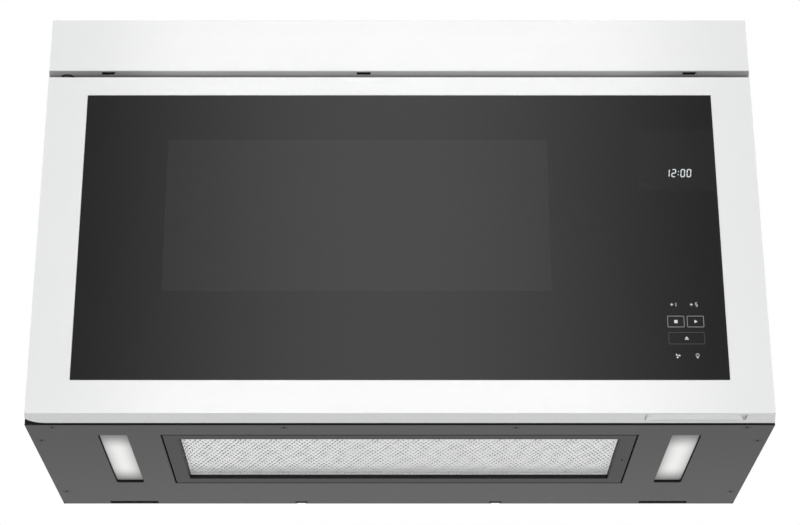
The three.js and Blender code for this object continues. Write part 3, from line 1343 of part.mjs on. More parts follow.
function displayModule() {
  const right = DOOR_HALF - DISPLAY_FROM_SIDE;
  const front = glassRear + SEAT;
  const rear = front + DISPLAY_THICKNESS;
  const high = DOOR_HEIGHT - DISPLAY_FROM_TOP;
  const low = high - DISPLAY_HEIGHT;
  const lens = block([right - DISPLAY_WIDTH, right], [front, rear], [low, high]);
  const socket = block(
    spanAt(right - DISPLAY_WIDTH / 2, DISPLAY_WIDTH / 3),
    [rear - CUT, rear + SOCKET_DEPTH],
    [low + SOCKET_INSET, low + SOCKET_INSET + SOCKET_HEIGHT],
  );
  return lens.add(socket);
}

function touchBoard() {
  const right = DOOR_HALF - KEYS_FROM_SIDE;
  const front = glassRear + SEAT;
  const rear = front + KEYS_THICKNESS;
  const high = KEYS_LOW + KEYS_HEIGHT;
  const board = block([right - KEYS_WIDTH, right], [front, rear], [KEYS_LOW, high]);
  const socket = block(
    spanAt(right - KEYS_WIDTH / 2, KEYS_WIDTH / 2),
    [rear - CUT / 2, rear + SOCKET_DEPTH],
    [high - SOCKET_INSET - SOCKET_HEIGHT, high - SOCKET_INSET],
  );
  return board.add(socket);
}

function latchBar() {
  const low = LOWER_HOOK_Z - BAR_END - DOOR_LIFT;
  let bars = block(
    spanAt(LATCH_X, 2 * BAR_HALF_WIDTH),
    [-BAR_FROM_REAR - BAR_THICKNESS, -BAR_FROM_REAR],
    [low, barHigh],
  );
  const tipY = DOOR_GAP + HOOK_REACH;
  for (const hookZ of hookHeights) {
    const z = hookZ - DOOR_LIFT;
    const arm = bar(LATCH_X, HOOK_HALF_WIDTH, [-BAR_FROM_REAR - CUT / 2, tipY], z, HOOK_HALF_HEIGHT);
    const barbY = DOOR_GAP + SHEET + HOOK_ROOM;
    const barb = block(
      spanAt(LATCH_X, 2 * HOOK_HALF_WIDTH),
      [barbY, barbY + BARB_LENGTH],
      [z - HOOK_HALF_HEIGHT - BARB_DROP, z],
    );
    bars = bars.add(arm).add(barb);
  }
  return bars;
}

function latchSpring() {
  return rod("z", SPRING_RADIUS, [springLow, springHigh], [LATCH_X, latchBarY], 12);
}

// ---------------------------------------------------------------- interlock switches

const switchFront = HOOK_REACH + SEAT + PLUNGER_REACH;

function interlockBracket() {
  const spanX = spanAt(LATCH_X, 2 * INTERLOCK_HALF_WIDTH);
  const spanY = [FRAME_REAR, FRAME_REAR + INTERLOCK_WALL];
  let bracket = block(spanX, spanY, [LOWER_HOOK_Z - INTERLOCK_END, UPPER_HOOK_Z + INTERLOCK_END]);
  for (const z of hookHeights) {
    const windowX = spanAt(LATCH_X, 2 * (HOOK_HALF_WIDTH + HOOK_SIDE_ROOM));
    const windowZ = [
      z - HOOK_HALF_HEIGHT - BARB_DROP - HOOK_ROOM,
      z + HOOK_HALF_HEIGHT + LATCH_LIFT + HOOK_ROOM,
    ];
    bracket = bracket.subtract(block(windowX, grown(spanY, CUT), windowZ));
    const shelfTop = z - SWITCH_HEIGHT / 2 - SEAT;
    const shelf = block(spanX, [FRAME_REAR, switchFront + SWITCH_DEPTH], [
      shelfTop - INTERLOCK_WALL,
      shelfTop,
    ]);
    bracket = bracket.add(shelf);
  }
  return bracket;
}

// A switch's own frame: y = 0 at its front face, x and z at its plunger.
function interlockSwitch() {
  const body = block(spanAt(0, SWITCH_WIDTH), [0, SWITCH_DEPTH], spanAt(0, SWITCH_HEIGHT));
  const pocket = bar(
    0,
    PLUNGER_SIZE / 2 + SEAT,
    [-CUT, PLUNGER_INSIDE + PLUNGER_TRAVEL + SEAT],
    0,
    PLUNGER_SIZE / 2 + SEAT,
  );
  return body.subtract(pocket);
}

function switchPlunger() {
  return bar(0, PLUNGER_SIZE / 2, [-PLUNGER_REACH, PLUNGER_INSIDE], 0, PLUNGER_SIZE / 2);
}

// ---------------------------------------------------------------- grease filter and lamps

const meshSpanX = grown(filterSpanX, -FILTER_BORDER_SIDE);
const meshSpanY = [
  FILTER_FROM_FRONT + FILTER_BORDER_FRONT,
  FILTER_REAR - FILTER_BORDER_REAR,
];

function greaseFilterFrame() {
  const border = block(filterSpanX, filterSpanY, [0, SHEET]);
  const tray = block(
    grown(meshSpanX, FILTER_TRAY_WALL),
    grown(meshSpanY, FILTER_TRAY_WALL),
    [0, FILTER_TRAY_HEIGHT],
  );
  const opening = block(meshSpanX, meshSpanY, [-CUT, FILTER_TRAY_HEIGHT + CUT]);
  const wide = FILTER_SCREW_HEAD_RADIUS + SEAT;
  const narrow = FILTER_SCREW_RADIUS + SEAT;
  const seat = countersink(wide, narrow, [screwX, FILTER_MIDDLE_Y]);
  return border.add(tray).subtract(opening).subtract(seat);
}

// The shape of a countersunk head flush with the underside of a sheet.
function countersink(wide, narrow, [x, y]) {
  const cone = new THREE.CylinderGeometry(narrow, wide, SHEET, ROUND_SIDES);
  cone.rotateX(Math.PI / 2);
  cone.translate(x, y, SHEET / 2);
  return solidOf(cone);
}

// A net of diamond openings in staggered rows, as expanded sheet metal has.
function greaseFilterMesh() {
  const [x0, x1] = grown(meshSpanX, -SEAT);
  const [y0, y1] = grown(meshSpanY, -SEAT);
  const outline = new THREE.Shape();
  outline.moveTo(x0, y0);
  outline.lineTo(x1, y0);
  outline.lineTo(x1, y1);
  outline.lineTo(x0, y1);
  const pitchX = (x1 - x0 - 2 * MESH_EDGE) / MESH_COLUMNS;
  const pitchY = (y1 - y0 - 2 * MESH_EDGE) / MESH_ROWS;
  const halfX = pitchX / 2 - MESH_STRAND / 2;
  const halfY = pitchY / 2 - MESH_STRAND / 2;
  for (let row = 0; row < 2 * MESH_ROWS - 1; row += 1) {
    const shift = row % 2;
    for (let column = 0; column < MESH_COLUMNS - shift; column += 1) {
      const x = x0 + MESH_EDGE + (column + 0.5 + shift / 2) * pitchX;
      const y = y0 + MESH_EDGE + ((row + 1) / 2) * pitchY;
      const diamond = new THREE.Path();
      diamond.moveTo(x - halfX, y);
      diamond.lineTo(x, y + halfY);
      diamond.lineTo(x + halfX, y);
      diamond.lineTo(x, y - halfY);
      outline.holes.push(diamond);
    }
  }
  return upright(outline, [MESH_LIFT, MESH_LIFT + MESH_THICKNESS]);
}

function greaseFilterScrew() {
  const place = [screwX, FILTER_MIDDLE_Y];
  const shank = rod("z", FILTER_SCREW_RADIUS, [SHEET / 2, screwTabZ + SHEET], place);
  return shank.add(countersink(FILTER_SCREW_HEAD_RADIUS, FILTER_SCREW_RADIUS, place));
}

function lightLens(side) {
  const span = grown(lightSpan(side), LENS_OVERLAP);
  const shape = roundedRectangle(span, grown(lightSpanY, LENS_OVERLAP), LIGHT_CORNER);
  return upright(shape, [BASE_TOP, BASE_TOP + LENS_THICKNESS], 3);
}

const housingGap = LENS_OVERLAP + SEAT;
const boardZ = BASE_TOP + LIGHT_HOUSING_HEIGHT - LIGHT_HOUSING_WALL - SEAT;

function lightHousing(side) {
  const innerX = grown(lightSpan(side), housingGap);
  const innerY = grown(lightSpanY, housingGap);
  const outer = block(
    grown(innerX, LIGHT_HOUSING_WALL),
    grown(innerY, LIGHT_HOUSING_WALL),
    [BASE_TOP, BASE_TOP + LIGHT_HOUSING_HEIGHT],
  );
  const roof = BASE_TOP + LIGHT_HOUSING_HEIGHT - LIGHT_HOUSING_WALL;
  return outer.subtract(block(innerX, innerY, [BASE_TOP - CUT, roof]));
}

function lightBoard(side) {
  const spanX = lightSpan(side);
  let board = block(spanX, lightSpanY, [boardZ - LIGHT_BOARD_THICKNESS, boardZ]);
  const pitch = (lightSpanY[1] - lightSpanY[0]) / LIGHT_LED_COUNT;
  const middle = (spanX[0] + spanX[1]) / 2;
  for (let led = 0; led < LIGHT_LED_COUNT; led += 1) {
    const y = LIGHT_FROM_FRONT + (led + 0.5) * pitch;
    const low = boardZ - LIGHT_BOARD_THICKNESS - LIGHT_LED_HEIGHT;
    board = board.add(
      block(spanAt(middle, LIGHT_LED_SIZE), spanAt(y, LIGHT_LED_SIZE), [low, boardZ]),
    );
  }
  return board;
}

// ---------------------------------------------------------------- assembly

const oven = new THREE.Group();
oven.name = "over_the_range_microwave";
const totalDepth = CASE_DEPTH - DOOR_FRONT_Y;
const body = groupAt(oven, 0, -DOOR_FRONT_Y - totalDepth / 2, 0);

piece(body, "base_plate", basePlate(), greyPaint());
piece(body, "front_frame", frontFrame(), blackPaint());
piece(body, "outer_case", outerCase(), greyPaint());
piece(body, "back_panel", backPanel(), galvanised());
const panelGroup = groupAt(body, 0, -SEAT, 0);
piece(panelGroup, "top_panel", topPanel(), whitePaint());
piece(body, "charcoal_filter", charcoalFilter(), charcoal());

piece(body, "cavity_shell", cavityShell(), enamel());
piece(body, "ceramic_floor", ceramicFloor(), ceramic());
piece(body, "waveguide", waveguide(), galvanised());
const antennaGroup = groupAt(body, CAVITY_MIDDLE_X, FEED_Y, 0);
piece(antennaGroup, "rotating_antenna", rotatingAntenna(), aluminium());
piece(antennaGroup, "antenna_motor", antennaMotor(), steel());
const magnetron = groupAt(body, MAGNETRON_X, FEED_Y, MAGNETRON_LOW);
piece(magnetron, "magnetron_yoke", magnetronYoke(), galvanised());
piece(magnetron, "magnetron_core", magnetronCore(), aluminium());

piece(body, "component_shelf", componentShelf(), galvanised());
const transformerGroup = groupAt(
  body,
  BAY_LEFT + TRANSFORMER_FROM_CAVITY + TRANSFORMER_WIDTH / 2,
  shelfSpanY[1] - TRANSFORMER_FROM_REAR - TRANSFORMER_DEPTH / 2 - TRANSFORMER_COIL,
  SHELF_TOP + SEAT,
);
piece(transformerGroup, "hv_transformer", transformer(), copper());
const capacitorGroup = groupAt(
  body,
  BAY_LEFT + TRANSFORMER_FROM_CAVITY,
  shelfSpanY[0] + CAPACITOR_FROM_FRONT + CAPACITOR_WIDTH / 2,
  SHELF_TOP + SEAT,
);
piece(capacitorGroup, "hv_capacitor", capacitor(), aluminium());
const diodeGroup = groupAt(
  body,
  BAY_LEFT + TRANSFORMER_FROM_CAVITY,
  shelfSpanY[0] + CAPACITOR_FROM_FRONT + CAPACITOR_WIDTH + 3 * DIODE_RADIUS,
  SHELF_TOP + SEAT,
);
piece(diodeGroup, "hv_diode", diode(), blackPlastic());
const boardGroup = groupAt(
  body,
  CASE_INSIDE - BOARD_FROM_SIDE - BOARD_WIDTH,
  REAR_INSIDE - BOARD_STANDOFF,
  BOARD_LOW,
);
piece(boardGroup, "power_board", powerBoard(), circuitBoard());
piece(body, "cavity_lamp", cavityLamp(), whitePlastic());
const fanGroup = groupAt(
  body,
  MAGNETRON_X,
  FEED_Y + MAGNETRON_DEPTH / 2 + FAN_FROM_MAGNETRON + FAN_DEPTH / 2,
  fanMiddleZ,
);
piece(fanGroup, "cooling_fan_frame", coolingFanFrame(), blackPlastic());
piece(fanGroup, "cooling_fan_rotor", coolingFanRotor(), greyPlastic());

const blower = groupAt(body, 0, blowerY, BLOWER_Z);
piece(blower, "blower_housing_left", blowerHousing(-1), galvanised());
piece(blower, "blower_housing_right", blowerHousing(1), galvanised());
piece(blower, "blower_motor", blowerMotor(), steel());
const shaft = rod("x", SHAFT_RADIUS, [-shaftHalf, shaftHalf], [0, 0], SMALL_SIDES);
piece(blower, "blower_shaft", shaft, steel());
for (const [name, side] of [["blower_wheel_left", -1], ["blower_wheel_right", 1]]) {
  const wheelGroup = groupAt(blower, side * wheelMiddle, 0, 0);
  piece(wheelGroup, name, blowerWheel(), whitePlastic());
}

piece(body, "damper_frame", damperFrame(), galvanised());
const flapGroup = groupAt(body, 0, EXHAUST_REAR - FLAP_PIVOT_FROM_REAR, FLAP_Z);
piece(flapGroup, "damper_flap", damperFlap(), aluminium());
piece(body, "hood_air_duct", hoodAirDuct(), galvanised());
piece(body, "cord_gland", cordGland(), blackPlastic());

piece(body, "upper_hinge_bracket", upperHingeBracket(), steel());
piece(body, "upper_hinge_bush", upperHingeBush(), blackPlastic());
piece(body, "upper_hinge_pin", upperHingePin(), steel());
piece(body, "lower_hinge_bracket", lowerHingeBracket(), steel());
piece(body, "lower_hinge_bush", lowerHingeBush(), blackPlastic());

const door = groupAt(body, 0, -DOOR_GAP, DOOR_LIFT);
piece(door, "door_frame", doorFrame(), whitePaint());
piece(door, "door_glass", doorGlass(), darkGlass());
piece(door, "door_inner_panel", doorInnerPanel(), blackPaint());
piece(door, "door_screen", doorScreen(), blackPaint());
piece(door, "door_inner_pane", doorInnerPane(), clearPane());
piece(door, "display_module", displayModule(), blackPlastic());
piece(door, "touch_board", touchBoard(), circuitBoard());
piece(door, "latch_bar", latchBar(), greyPlastic());
piece(door, "latch_spring", latchSpring(), steel());

piece(body, "interlock_bracket", interlockBracket(), blackPlastic());
for (const [name, z] of [["primary", UPPER_HOOK_Z], ["secondary", LOWER_HOOK_Z]]) {
  const switchGroup = groupAt(body, LATCH_X, switchFront, z);
  piece(switchGroup, name + "_switch", interlockSwitch(), greyPlastic());
  piece(switchGroup, name + "_plunger", switchPlunger(), whitePlastic());
}

piece(body, "grease_filter_frame", greaseFilterFrame(), greyPaint());
piece(body, "grease_filter_mesh", greaseFilterMesh(), aluminium());
piece(body, "grease_filter_screw", greaseFilterScrew(), steel());
for (const [name, side] of [["left", -1], ["right", 1]]) {
  piece(body, name + "_light_lens", lightLens(side), glowingLens());
  piece(body, name + "_light_housing", lightHousing(side), whitePlastic());
  piece(body, name + "_light_board", lightBoard(side), circuitBoard());
}

export default oven;
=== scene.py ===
"""The looks of a shallow wall-hung microwave oven with a cooker hood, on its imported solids.

Lengths are metres in the part's own frame: x to the right, y to the rear, z up. Colours are linear.
"""

import json
from math import cos, pi, radians, sin

import bmesh
import bpy
from mathutils import Matrix, Vector

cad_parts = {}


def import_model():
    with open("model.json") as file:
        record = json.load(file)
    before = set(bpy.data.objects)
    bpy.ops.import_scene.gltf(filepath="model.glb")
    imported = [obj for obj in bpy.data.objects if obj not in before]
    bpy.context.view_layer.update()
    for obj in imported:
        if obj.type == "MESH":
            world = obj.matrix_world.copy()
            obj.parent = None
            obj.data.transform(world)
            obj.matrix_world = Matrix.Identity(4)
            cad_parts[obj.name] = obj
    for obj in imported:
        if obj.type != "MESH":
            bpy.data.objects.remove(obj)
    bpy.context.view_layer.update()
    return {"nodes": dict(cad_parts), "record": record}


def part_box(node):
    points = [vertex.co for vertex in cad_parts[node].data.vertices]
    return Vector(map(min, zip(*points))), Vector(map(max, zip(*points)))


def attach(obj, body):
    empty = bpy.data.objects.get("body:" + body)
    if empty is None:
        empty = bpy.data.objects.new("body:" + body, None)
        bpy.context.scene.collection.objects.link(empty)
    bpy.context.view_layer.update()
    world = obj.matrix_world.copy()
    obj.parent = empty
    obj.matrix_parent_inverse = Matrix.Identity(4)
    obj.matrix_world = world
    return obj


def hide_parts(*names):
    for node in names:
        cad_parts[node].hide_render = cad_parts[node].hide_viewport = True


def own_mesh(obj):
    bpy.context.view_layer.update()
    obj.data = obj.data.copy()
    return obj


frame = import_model()

MM = 0.001

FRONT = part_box("front_frame")[0].y
DOOR_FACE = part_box("door_frame")[0].y
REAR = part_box("back_panel")[1].y
SHEET = 1.2 * MM  # thickness of the sheet steel
SIDES = ((-1, "left"), (1, "right"))

# The camera stands below and in front of the oven and looks up at it.
CAMERA_PLACE = (-0.01227, -2.10487, -0.66778)
CAMERA_PITCH = radians(23.1245)
CAMERA_LENS = 92.73
SENSOR_WIDTH = 36
CAMERA_SHIFT = 0.0154

# The room: the oven hangs over a kitchen floor, and a bright panel stands far in front of it.
FLOOR_HEIGHT = -1.37
FLOOR_REACH = 12.0
FLOOR_GLOW = 0.64
REFLECTOR_DEPTH = -4.0
REFLECTOR_X = (-2.6, 2.6)
REFLECTOR_Z = (-0.9, 4.2)
ROOM_LIGHT = 0.42

# Soft lamps: name, place, target, width and height, power in watts, spread in degrees
LAMPS = (
    ("front_softbox", (0, -2.6, 1.4), (0, DOOR_FACE, 0.2), (1.0, 1.0), 29, 180),
    ("middle_softbox", (0, -2.6, 0.2), (0, DOOR_FACE, 0.2), (0.56, 1.6), 0.44, 4.7),
    ("low_softbox", (0, -1.9, -1.1), (0, 0, 0.1), (1.2, 0.8), 15, 180),
    ("rear_softbox", (0.8, 2.6, 2.4), (0, 0, 0.2), (2.0, 2.0), 12, 180),
    ("left_softbox", (-3.0, 0.6, 0.5), (0, 0, 0.25), (1.0, 1.0), 2.3, 34),
    ("right_softbox", (3.0, 0.6, 0.5), (0, 0, 0.25), (1.0, 1.0), 2.3, 34),
)

# Finishes
NOISE_SPAN = (0.3, 0.7)  # most of a noise lies between these
SOFT_EDGE = 0.2 * MM
PAINT_GRAIN = 0.9 * MM
# the greys below are darker at the front than at the rear: painted shade
CASE_GREY = (0.100, 0.112)  # at the front and at the rear
BASE_GREY = (0.062, 0.097)
# near-black of the painted shade
SHADE_BLACK = 0.004
SHADED_EDGE_HEIGHTS = (0.06 * MM, 0.22 * MM)  # between these heights the grey gives way to black: painted shade on the sheet edges above
GROOVE_SHADE_WIDTH = 2.3 * MM  # width of the painted shade in the groove round the filter
# widths of the painted shade round the filter's mesh and along the outer rim of its frame
MESH_EDGE_SHADE = 1.3 * MM
FRAME_RIM_SHADE = 0.35 * MM
# flush screws painted on the case and the back panel: their heads, and their recesses painted
# near-black as shade
SIDE_HEAD = 3.7 * MM
BACK_HEAD = 3.6 * MM
HEAD_RECESS = 1.5 * MM
# radius of the black ring of painted shade round each screw seat of the base
SCREW_SEAT_SHADE = 4.5 * MM
SMOOTH_ANGLE = 60  # degrees between faces that still look like one soft surface

# Door glass: what is printed or lit behind it
GLASS_STEP = 0.25 * MM  # front of the glass behind the rim of the door
PRINT_STEP = 0.06 * MM  # front of the prints behind the rim of the door
PRINT_DEPTHS = (DOOR_FACE + PRINT_STEP, DOOR_FACE + GLASS_STEP + 0.1 * MM)
WINDOW_SPAN_X = (-243.7 * MM, 155.7 * MM)
WINDOW_SPAN_Z = (132.5 * MM, 304.7 * MM)
DISPLAY_SPAN_X = (249.0 * MM, 331.4 * MM)
DISPLAY_SPAN_Z = (245.9 * MM, 316.5 * MM)

# Clock: DIGIT_BARS gives the two ends of each bar, across and up; a one is its two left bars.
DIGIT_HEIGHT = 9.3 * MM
DIGIT_WIDTH = 4.7 * MM
DIGIT_STROKE = 0.98 * MM
DIGIT_SLANT = 0.10
DIGIT_GAP = 1.75 * MM
CLOCK_TEXT = "12:00"
NARROW_WIDTH = {"1": 1.2 * MM, ":": 1.2 * MM}
CLOCK_MIDDLE = (293.9 * MM, 266.1 * MM)
DIGIT_BARS = {"a": ((0, 2), (1, 2)), "b": ((1, 1), (1, 2)), "c": ((1, 0), (1, 1))}
DIGIT_BARS |= {"d": ((0, 0), (1, 0)), "e": ((0, 0), (0, 1)), "f": ((0, 1), (0, 2))}
DIGIT_BARS |= {"g": ((0, 1), (1, 1))}
LIT_BARS = {"0": "abcdef", "1": "ef", "2": "abged", "5": "afgcd"}

# Touch keys
KEY_STROKE = 0.5 * MM
KEY_ROUND = 0.9 * MM
COLUMN_LEFT = 280.5 * MM
COLUMN_RIGHT = 300.4 * MM
COLUMN_MIDDLE = (COLUMN_LEFT + COLUMN_RIGHT) / 2
TIME_ROW = 117.7 * MM
TIME_HEIGHT = 4.6 * MM
TIME_STROKE = 0.62 * MM
ACTION_ROW = 99.1 * MM
ACTION_SIZE = (17.1 * MM, 12.3 * MM)
ACTION_MARK = 3.4 * MM
OPEN_ROW = 81.0 * MM
OPEN_SIZE = (36.6 * MM, 13.0 * MM)
OPEN_MARK = 1.9 * MM
SYMBOL_ROW = 61.9 * MM
SYMBOL_SIZE = 5.6 * MM

# Pocket handle: its ends, its front and rear from the front frame, its heights, its soft ends
POCKET_SPAN_X = (246.9 * MM, 346.8 * MM)
POCKET_DEPTHS = (-29.35 * MM, -22.9 * MM, -10.4 * MM)
POCKET_HEIGHTS = (1.25 * MM, 22.6 * MM)
POCKET_END = 12 * MM
POCKET_COLUMNS = 48
POCKET_ROWS = 8

# Coil spring of the latch: half its wire, turns, and points on a turn
SPRING_WIRE = 0.35 * MM
SPRING_TURNS = 9
SPRING_STEPS = 16

# Grease mesh: width and length of a diamond, width of a strand and of the hem, grid of the backing
NET_DIAMOND = (5.3 * MM, 11.4 * MM)
DEEP_DIAMOND = (4.4 * MM, 9.2 * MM)
NET_STRAND = 1.72 * MM
NET_HEM = 2.2 * MM
BACKING_COLUMNS = 190
BACKING_ROWS = 60

# Screws; those of the base from the middle and from the front frame
BASE_SCREWS = ((352.8, 6.8), (370.2, 49.0), (370.3, 230.4), (117.7, 7.6))
BASE_SCREWS = [(x * MM, y * MM) for x, y in BASE_SCREWS]
SCREW_HEAD = 3.45 * MM
SCREW_SINK = 0.12 * MM
SCREW_RISE = 0.9 * MM
SCREW_RECESS = 2.0 * MM
RECESS_DEPTH = 0.8 * MM
SHANK_RADIUS = 1.9 * MM

# Screws of the back panel (x, z), of the case's sides (from the front frame, z)
# and of its top (x, from the front frame)
BACK_SCREWS = [(x * MM, z * MM) for z in (20, 432) for x in (-366, -122, 122, 366)]
BACK_SCREWS += [(-366 * MM, 226 * MM), (366 * MM, 226 * MM)]
SIDE_SCREWS = [(y * MM, z * MM) for y in (12, 264) for z in (24, 424)]
TOP_SCREWS = [(-360 * MM, 14 * MM), (360 * MM, 14 * MM)]
TOP_SCREWS += [(x * MM, 262 * MM) for x in (-360, -190, 190)]
BACK_PLATE_X = (170 * MM, 300 * MM)
BACK_PLATE_Z = (320 * MM, 372 * MM)

# Openings of the base, from the middle and from the front frame, and the painted shade that edges them
LAMP_MIDDLE = (295.0 * MM, 114.5 * MM)
LAMP_SIZE = (29.8 * MM, 164.8 * MM)
LAMP_ROUND = 2.9 * MM
LAMP_SHADE_INNER_MIDDLE = (294.525 * MM, 112.125 * MM)
LAMP_SHADE_INNER_SIZE = (28.75 * MM, 159.95 * MM)
NOTCH_MIDDLE = 110.0 * MM
NOTCH_SIZE = (12.1 * MM, 7.7 * MM)
NOTCH_SIDE_SHADE = 1.3 * MM
NOTCH_FRONT_SHADE = 5.8 * MM
SLOT_MIDDLE = (299.3 * MM, 13 * MM)
BASE_SLOT_SHADE_SIZE = (64 * MM, 22.5 * MM)

# Black fills of painted shade in the slots of the top panel's underside
PANEL_SLOT_SPANS = ((-319.5 * MM, -305.3 * MM), (-45.9 * MM, -29.9 * MM), (302.6 * MM, 318.2 * MM))
PANEL_SLOT_SPAN_Y = (-32.2 * MM, -25.9 * MM)
PANEL_SLOT_SHADE_GAP = 0.3 * MM


# ------------ shader maths


class Signal:
    """A shader socket; sums, differences, products and quotients of signals add Math nodes."""

    def __init__(self, finish, socket):
        self.finish = finish
        self.socket = socket

    def of(self, name):
        return Signal(self.finish, self.socket.node.outputs[name])

    def math(self, operation, *others):
        return self.finish.math(operation, self, *others)

    def __add__(self, other):
        return self.math("ADD", other)

    def __sub__(self, other):
        return self.math("SUBTRACT", other)

    def __rsub__(self, other):
        return self.finish.math("SUBTRACT", other, self)

    def __mul__(self, other):
        return self.math("MULTIPLY", other)

    def __truediv__(self, other):
        return self.math("DIVIDE", other)

    def __lt__(self, other):
        return self.math("LESS_THAN", other)

    __radd__ = __add__
    __rmul__ = __mul__


class Finish:
    """One procedural material, or the world's light, and the nodes that feed it."""

    def __init__(self, name, shelf=bpy.data.materials):
        self.made = shelf.new(name)
        self.made.use_nodes = True
        self.tree = self.made.node_tree
        self.tree.nodes.clear()

    def node(self, kind, settings=None, inputs=None, out=0):
        """Adds a node; its settings come first, then its sockets, and one output comes back."""
        made = self.tree.nodes.new(kind)
        for name, value in (settings or {}).items():
            setattr(made, name, value)
        for name, value in (inputs or {}).items():
            if isinstance(value, Signal):
                self.tree.links.new(value.socket, made.inputs[name])
            else:
                made.inputs[name].default_value = value
        return Signal(self, made.outputs[out])

    def math(self, operation, *values):
        return self.node("ShaderNodeMath", {"operation": operation}, dict(enumerate(values)))

    def place(self, stretch=(1, 1, 1)):
        """Points of the piece at rest, with each axis scaled."""
        point = self.node("ShaderNodeTexCoord", out="Object")
        return self.node("ShaderNodeVectorMath", {"operation": "MULTIPLY"}, {0: point, 1: stretch})

    def axes(self):
        split = self.node("ShaderNodeSeparateXYZ", None, {0: self.place()})
        return split, split.of("Y"), split.of("Z")

    def noise(self, size, detail=2.0, stretch=(1, 1, 1)):
        """Noise from 0 to 1 whose features are about as large as size."""
        inputs = {"Vector": self.place(stretch), "Scale": 1 / size, "Detail": detail}
        return self.node("ShaderNodeTexNoise", None, inputs)

    def cells(self, size, out="Distance"):
        """Cells of a size: how far a point is from the middle of its cell, or the cell's colour."""
        inputs = {"Vector": self.place(), "Scale": 1 / size}
        return self.node("ShaderNodeTexVoronoi", None, inputs, out)

    def waves(self, way, scale):
        inputs = {"Vector": self.place(), "Scale": scale}
        return self.node("ShaderNodeTexWave", {"bands_direction": way}, inputs)

    def levels(self, signal, low, high, to_low=0.0, to_high=1.0, way="LINEAR"):
        """Spreads the values between low and high over another span."""
        inputs = {0: signal, 1: low, 2: high, 3: to_low, 4: to_high}
        return self.node("ShaderNodeMapRange", {"interpolation_type": way}, inputs)

    def vary(self, noise, to_low, to_high):
        """Values between two limits that follow a noise."""
        return self.levels(noise, *NOISE_SPAN, to_low, to_high)

    def fade(self, signal, low, high):
        """0 below low, 1 above high, and smooth between them."""
        return self.levels(signal, low, high, way="SMOOTHSTEP")

    def within(self, signal, span):
        """1 inside the span and 0 outside it, with soft edges."""
        rise, fall = [self.fade(signal, end - SOFT_EDGE, end + SOFT_EDGE) for end in span]
        return rise - fall

    def below(self, x, y, node, margin):
        """1 below a solid, widened by a margin on every side, and 0 elsewhere."""
        low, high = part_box(node)
        across = self.within(x, (low.x - margin, high.x + margin))
        return across * self.within(y, (low.y - margin, high.y + margin))

    def mix(self, amount, first, second):
        """A colour between two colours, each written as a grey level, three numbers or a signal."""
        inputs = {0: amount, 6: colour(first), 7: colour(second)}
        return self.node("ShaderNodeMix", {"data_type": "RGBA"}, inputs, out=2)

    def discs(self, across, up, places, radius):
        """1 inside a round spot at each place and 0 elsewhere."""
        spots = None
        for place in places:
            aside = across - place[0]
            above = up - place[1]
            reach = (aside * aside + above * above).math("SQRT")
            spot = 1 - self.fade(reach, radius * 0.9, radius)
            spots = spot if spots is None else spots.math("MAXIMUM", spot)
        return spots

    def bump(self, height, depth):
        return self.node("ShaderNodeBump", None, {"Height": height, "Distance": depth})

    def seen(self):
        """1 for what the camera, gloss or clear glass sees, and 0 for light on the oven."""
        ray = self.node("ShaderNodeLightPath", out="Is Camera Ray")
        mirrored = ray.math("MAXIMUM", ray.of("Is Glossy Ray"))
        return mirrored.math("MAXIMUM", ray.of("Is Transmission Ray"))

    def surface(self, shade, rough, normal=None, metallic=0.0, specular=0.5, alpha=1.0, light=None):
        """Ends the material with its surface shader."""
        sockets = {"Base Color": shade, "Roughness": rough, "Metallic": metallic, "Alpha": alpha}
        sockets["Specular IOR Level"] = specular
        if normal is not None:
            sockets["Normal"] = normal
        if light is not None:
            sockets |= {"Emission Color": light, "Emission Strength": 1.0}
        return self.end(self.node("ShaderNodeBsdfPrincipled", None, sockets))

    def end(self, shader, kind="ShaderNodeOutputMaterial"):
        last = self.tree.nodes.new(kind)
        self.tree.links.new(shader.socket, last.inputs["Surface"])
        return self.made


def colour(value):
    """Four numbers for a grey level or three numbers; a signal stays as it is."""
    if isinstance(value, Signal):
        return value
    if isinstance(value, (int, float)):
        return (value, value, value, 1)
    return (*value, 1)


# ------------ finishes


def white_coat(name, underside):
    """Semi-gloss white powder coat with a faint orange peel; under the top panel its colour is a
    painted shade, darker towards the ends.
    """
    f = Finish(name)
    x, _, z = f.axes()
    white = f.mix(f.noise(0.12, 3), (0.800, 0.812, 0.806), (0.830, 0.840, 0.835))
    # painted shade under the top panel, darker still towards its ends
    painted_underside_shade = f.mix(f.fade(x.math("ABSOLUTE"), 0.24, 0.31), 0.60, 0.42)
    shade = f.mix(f.fade(z, underside, underside + 0.6 * MM), painted_underside_shade, white)
    rough = f.vary(f.noise(3 * MM), 0.30, 0.38)
    return f.surface(shade, rough, f.bump(f.noise(1.1 * MM), 0.012 * MM))


def black_enamel():
    """Satin black enamel on sheet steel."""
    f = Finish("black_enamel")
    shade = f.mix(f.noise(0.02, 3), 0.006, 0.012)
    rough = f.vary(f.noise(2 * MM), 0.40, 0.52)
    return f.surface(shade, rough, f.bump(f.noise(0.8 * MM), 0.02 * MM), specular=0.2)


def grey_spots(f, y, grey):
    """Dark grey with fine spots, darker towards the front as painted shade; and the grain that makes
    them.
    """
    grain = f.noise(PAINT_GRAIN, 4)
    # painted shade: darker towards the front
    plain = f.mix(f.fade(y, FRONT, REAR), *grey)
    return f.mix(f.levels(grain, 0.35, 0.65, 0.0, 0.16), plain, grey[1] * 1.5), grain


def grained(f, shade, grain):
    """Ends a material as matt paint with a fine grain."""
    return f.surface(shade, f.vary(grain, 0.50, 0.62), f.bump(grain, 0.05 * MM), specular=0.35)


def grey_texture_paint():
    """Grey paint with a fine grain, as on the case."""
    f = Finish("grey_texture_paint")
    _, y, _ = f.axes()
    return grained(f, *grey_spots(f, y, CASE_GREY))


